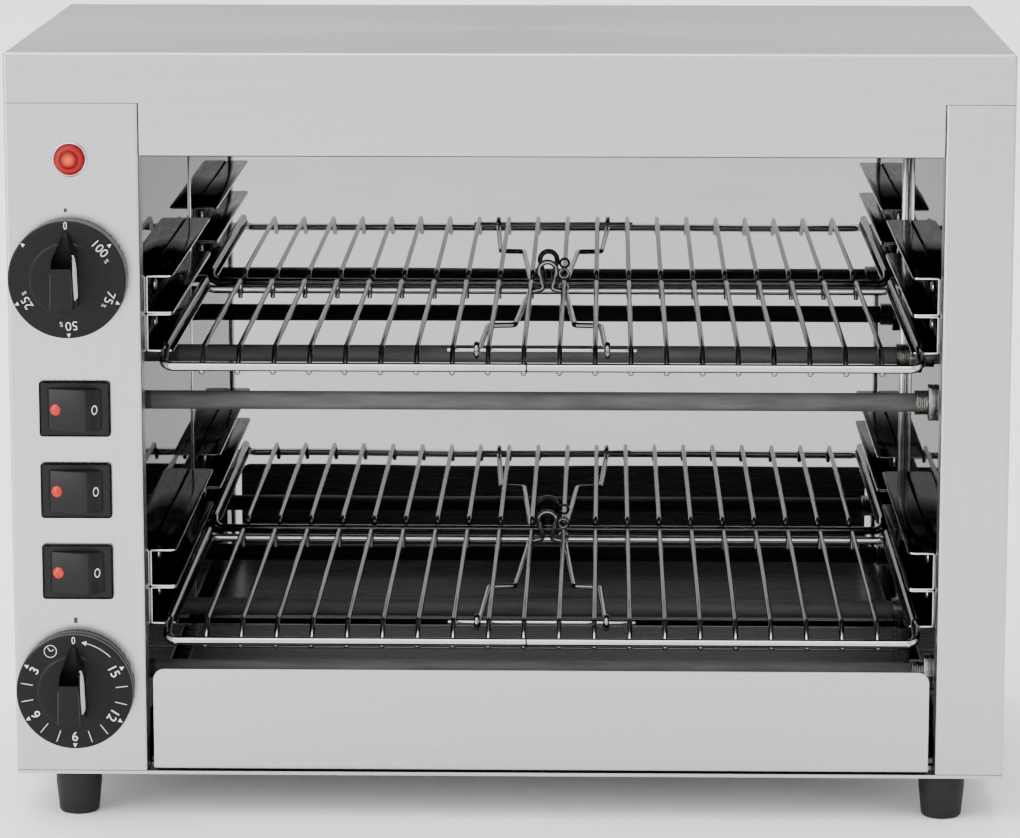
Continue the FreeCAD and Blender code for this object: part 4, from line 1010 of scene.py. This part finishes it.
# Mains inlet
# A black nylon gland with a hexagon and a ribbed cap stands out of the back panel.
nylon = speckled("Black nylon", {"scale": 700.0, "detail": 3.0}, grey(0.02), grey(0.035),
                 (0.4, 0.55))
gland = bmesh.new()
gland_place = facing(-190.0, panel_back, 52.0, "back")
for seat, thickness in ((0.05, 5.95), (-5.0, 4.0)):
    nut = turned([(5.6, seat), (11.5, seat), (11.5, seat + thickness), (5.6, seat + thickness),
                  (5.6, seat)], 6)
    soften(nut, 0.4, 50)
    join(gland, nut, gland_place)
cap = turned([(4.2, -10), (7.9, -10), (8.0, 5.9), (8.0, 6.6), (8.0, 11.4), (7.7, 12.2),
              (6.8, 15.2), (6.4, 15.7), (5.9, 16), (4.5, 16), (4.2, 15.7), (4.2, -10)], 72)
for vert in cap.verts:
    groove = round(math.degrees(math.atan2(vert.co.y, vert.co.x)) / 5) % 3 == 0
    if groove and vert.co.z > 6.5 and 7.4 < math.hypot(vert.co.x, vert.co.y):
        bmesh.ops.scale(cap, vec=(0.93, 0.93, 1), verts=[vert])
join(gland, cap, gland_place)
finish_piece("gland_cap", gland, nylon, "cabinet", "gland_plastic", "cable_gland")


# Studio
# A plain pale floor and large soft boxes at the front, above and at both sides. An even level of
# light all round fills what the steel mirrors.
floor_paint = speckled("Pale studio floor", {"scale": 3.0}, grey(0.90), grey(0.92),
                       (0.6, 0.7))
sweep = bmesh.new()
bmesh.ops.create_grid(sweep, x_segments=1, y_segments=1, size=6.0)
floor_mesh = bpy.data.meshes.new("studio_floor")
sweep.to_mesh(floor_mesh)
sweep.free()
floor_mesh.materials.append(floor_paint)
floor = bpy.data.objects.new("studio_floor", floor_mesh)
bpy.context.scene.collection.objects.link(floor)

world = bpy.data.worlds.new("Studio")
bpy.context.scene.world = world
world.use_nodes = True
sky = world.node_tree.nodes["Background"]
sky.inputs["Color"].default_value = (1, 1, 1, 1)
sky.inputs["Strength"].default_value = 1.35


def soft_box(name, place, target, width, height, brightness):
    """A soft box whose face has the given brightness, whatever its size."""
    light = bpy.data.lights.new(name, "AREA")
    light.shape = "RECTANGLE"
    light.size = width
    light.size_y = height
    light.energy = brightness * math.pi * width * height
    lamp = bpy.data.objects.new(name, light)
    bpy.context.scene.collection.objects.link(lamp)
    lamp.location = place
    lamp.rotation_euler = (Vector(target) - Vector(place)).to_track_quat("-Z", "Y").to_euler()


soft_box("Overhead box", (-1.5, -0.5, 2.8), (-1.5, -0.5, 0), 4.4, 5.0, 2.8)
soft_box("Front wall", (-1.8, -4.5, 1.5), (-1.8, 0, 1.5), 7.0, 2.9, 1.1)
soft_box("Rear overhead box", (0, 3.6, 2.6), (0, 3.6, 0), 5.0, 3.0, 2.4)
soft_box("Left strip", (-1.7, -1.4, 0.7), (0, 0, 0.2), 0.8, 1.4, 6.0)
soft_box("Right strip", (1.7, -1.5, 0.7), (0, 0, 0.2), 0.3, 1.2, 5.0)

# The camera looks down a little on the front, from about 2 m.
camera_data = bpy.data.cameras.new("Camera")
camera_data.sensor_width = 36.0
camera_data.lens = 152.82
camera_data.clip_start = 0.05
camera_data.clip_end = 50.0
camera = bpy.data.objects.new("Camera", camera_data)
camera.location = (0.04185, -1.98332, 0.5295)
camera.rotation_euler = (math.radians(90 - 10.513), 0, math.radians(1.264))
bpy.context.scene.collection.objects.link(camera)
bpy.context.scene.camera = camera
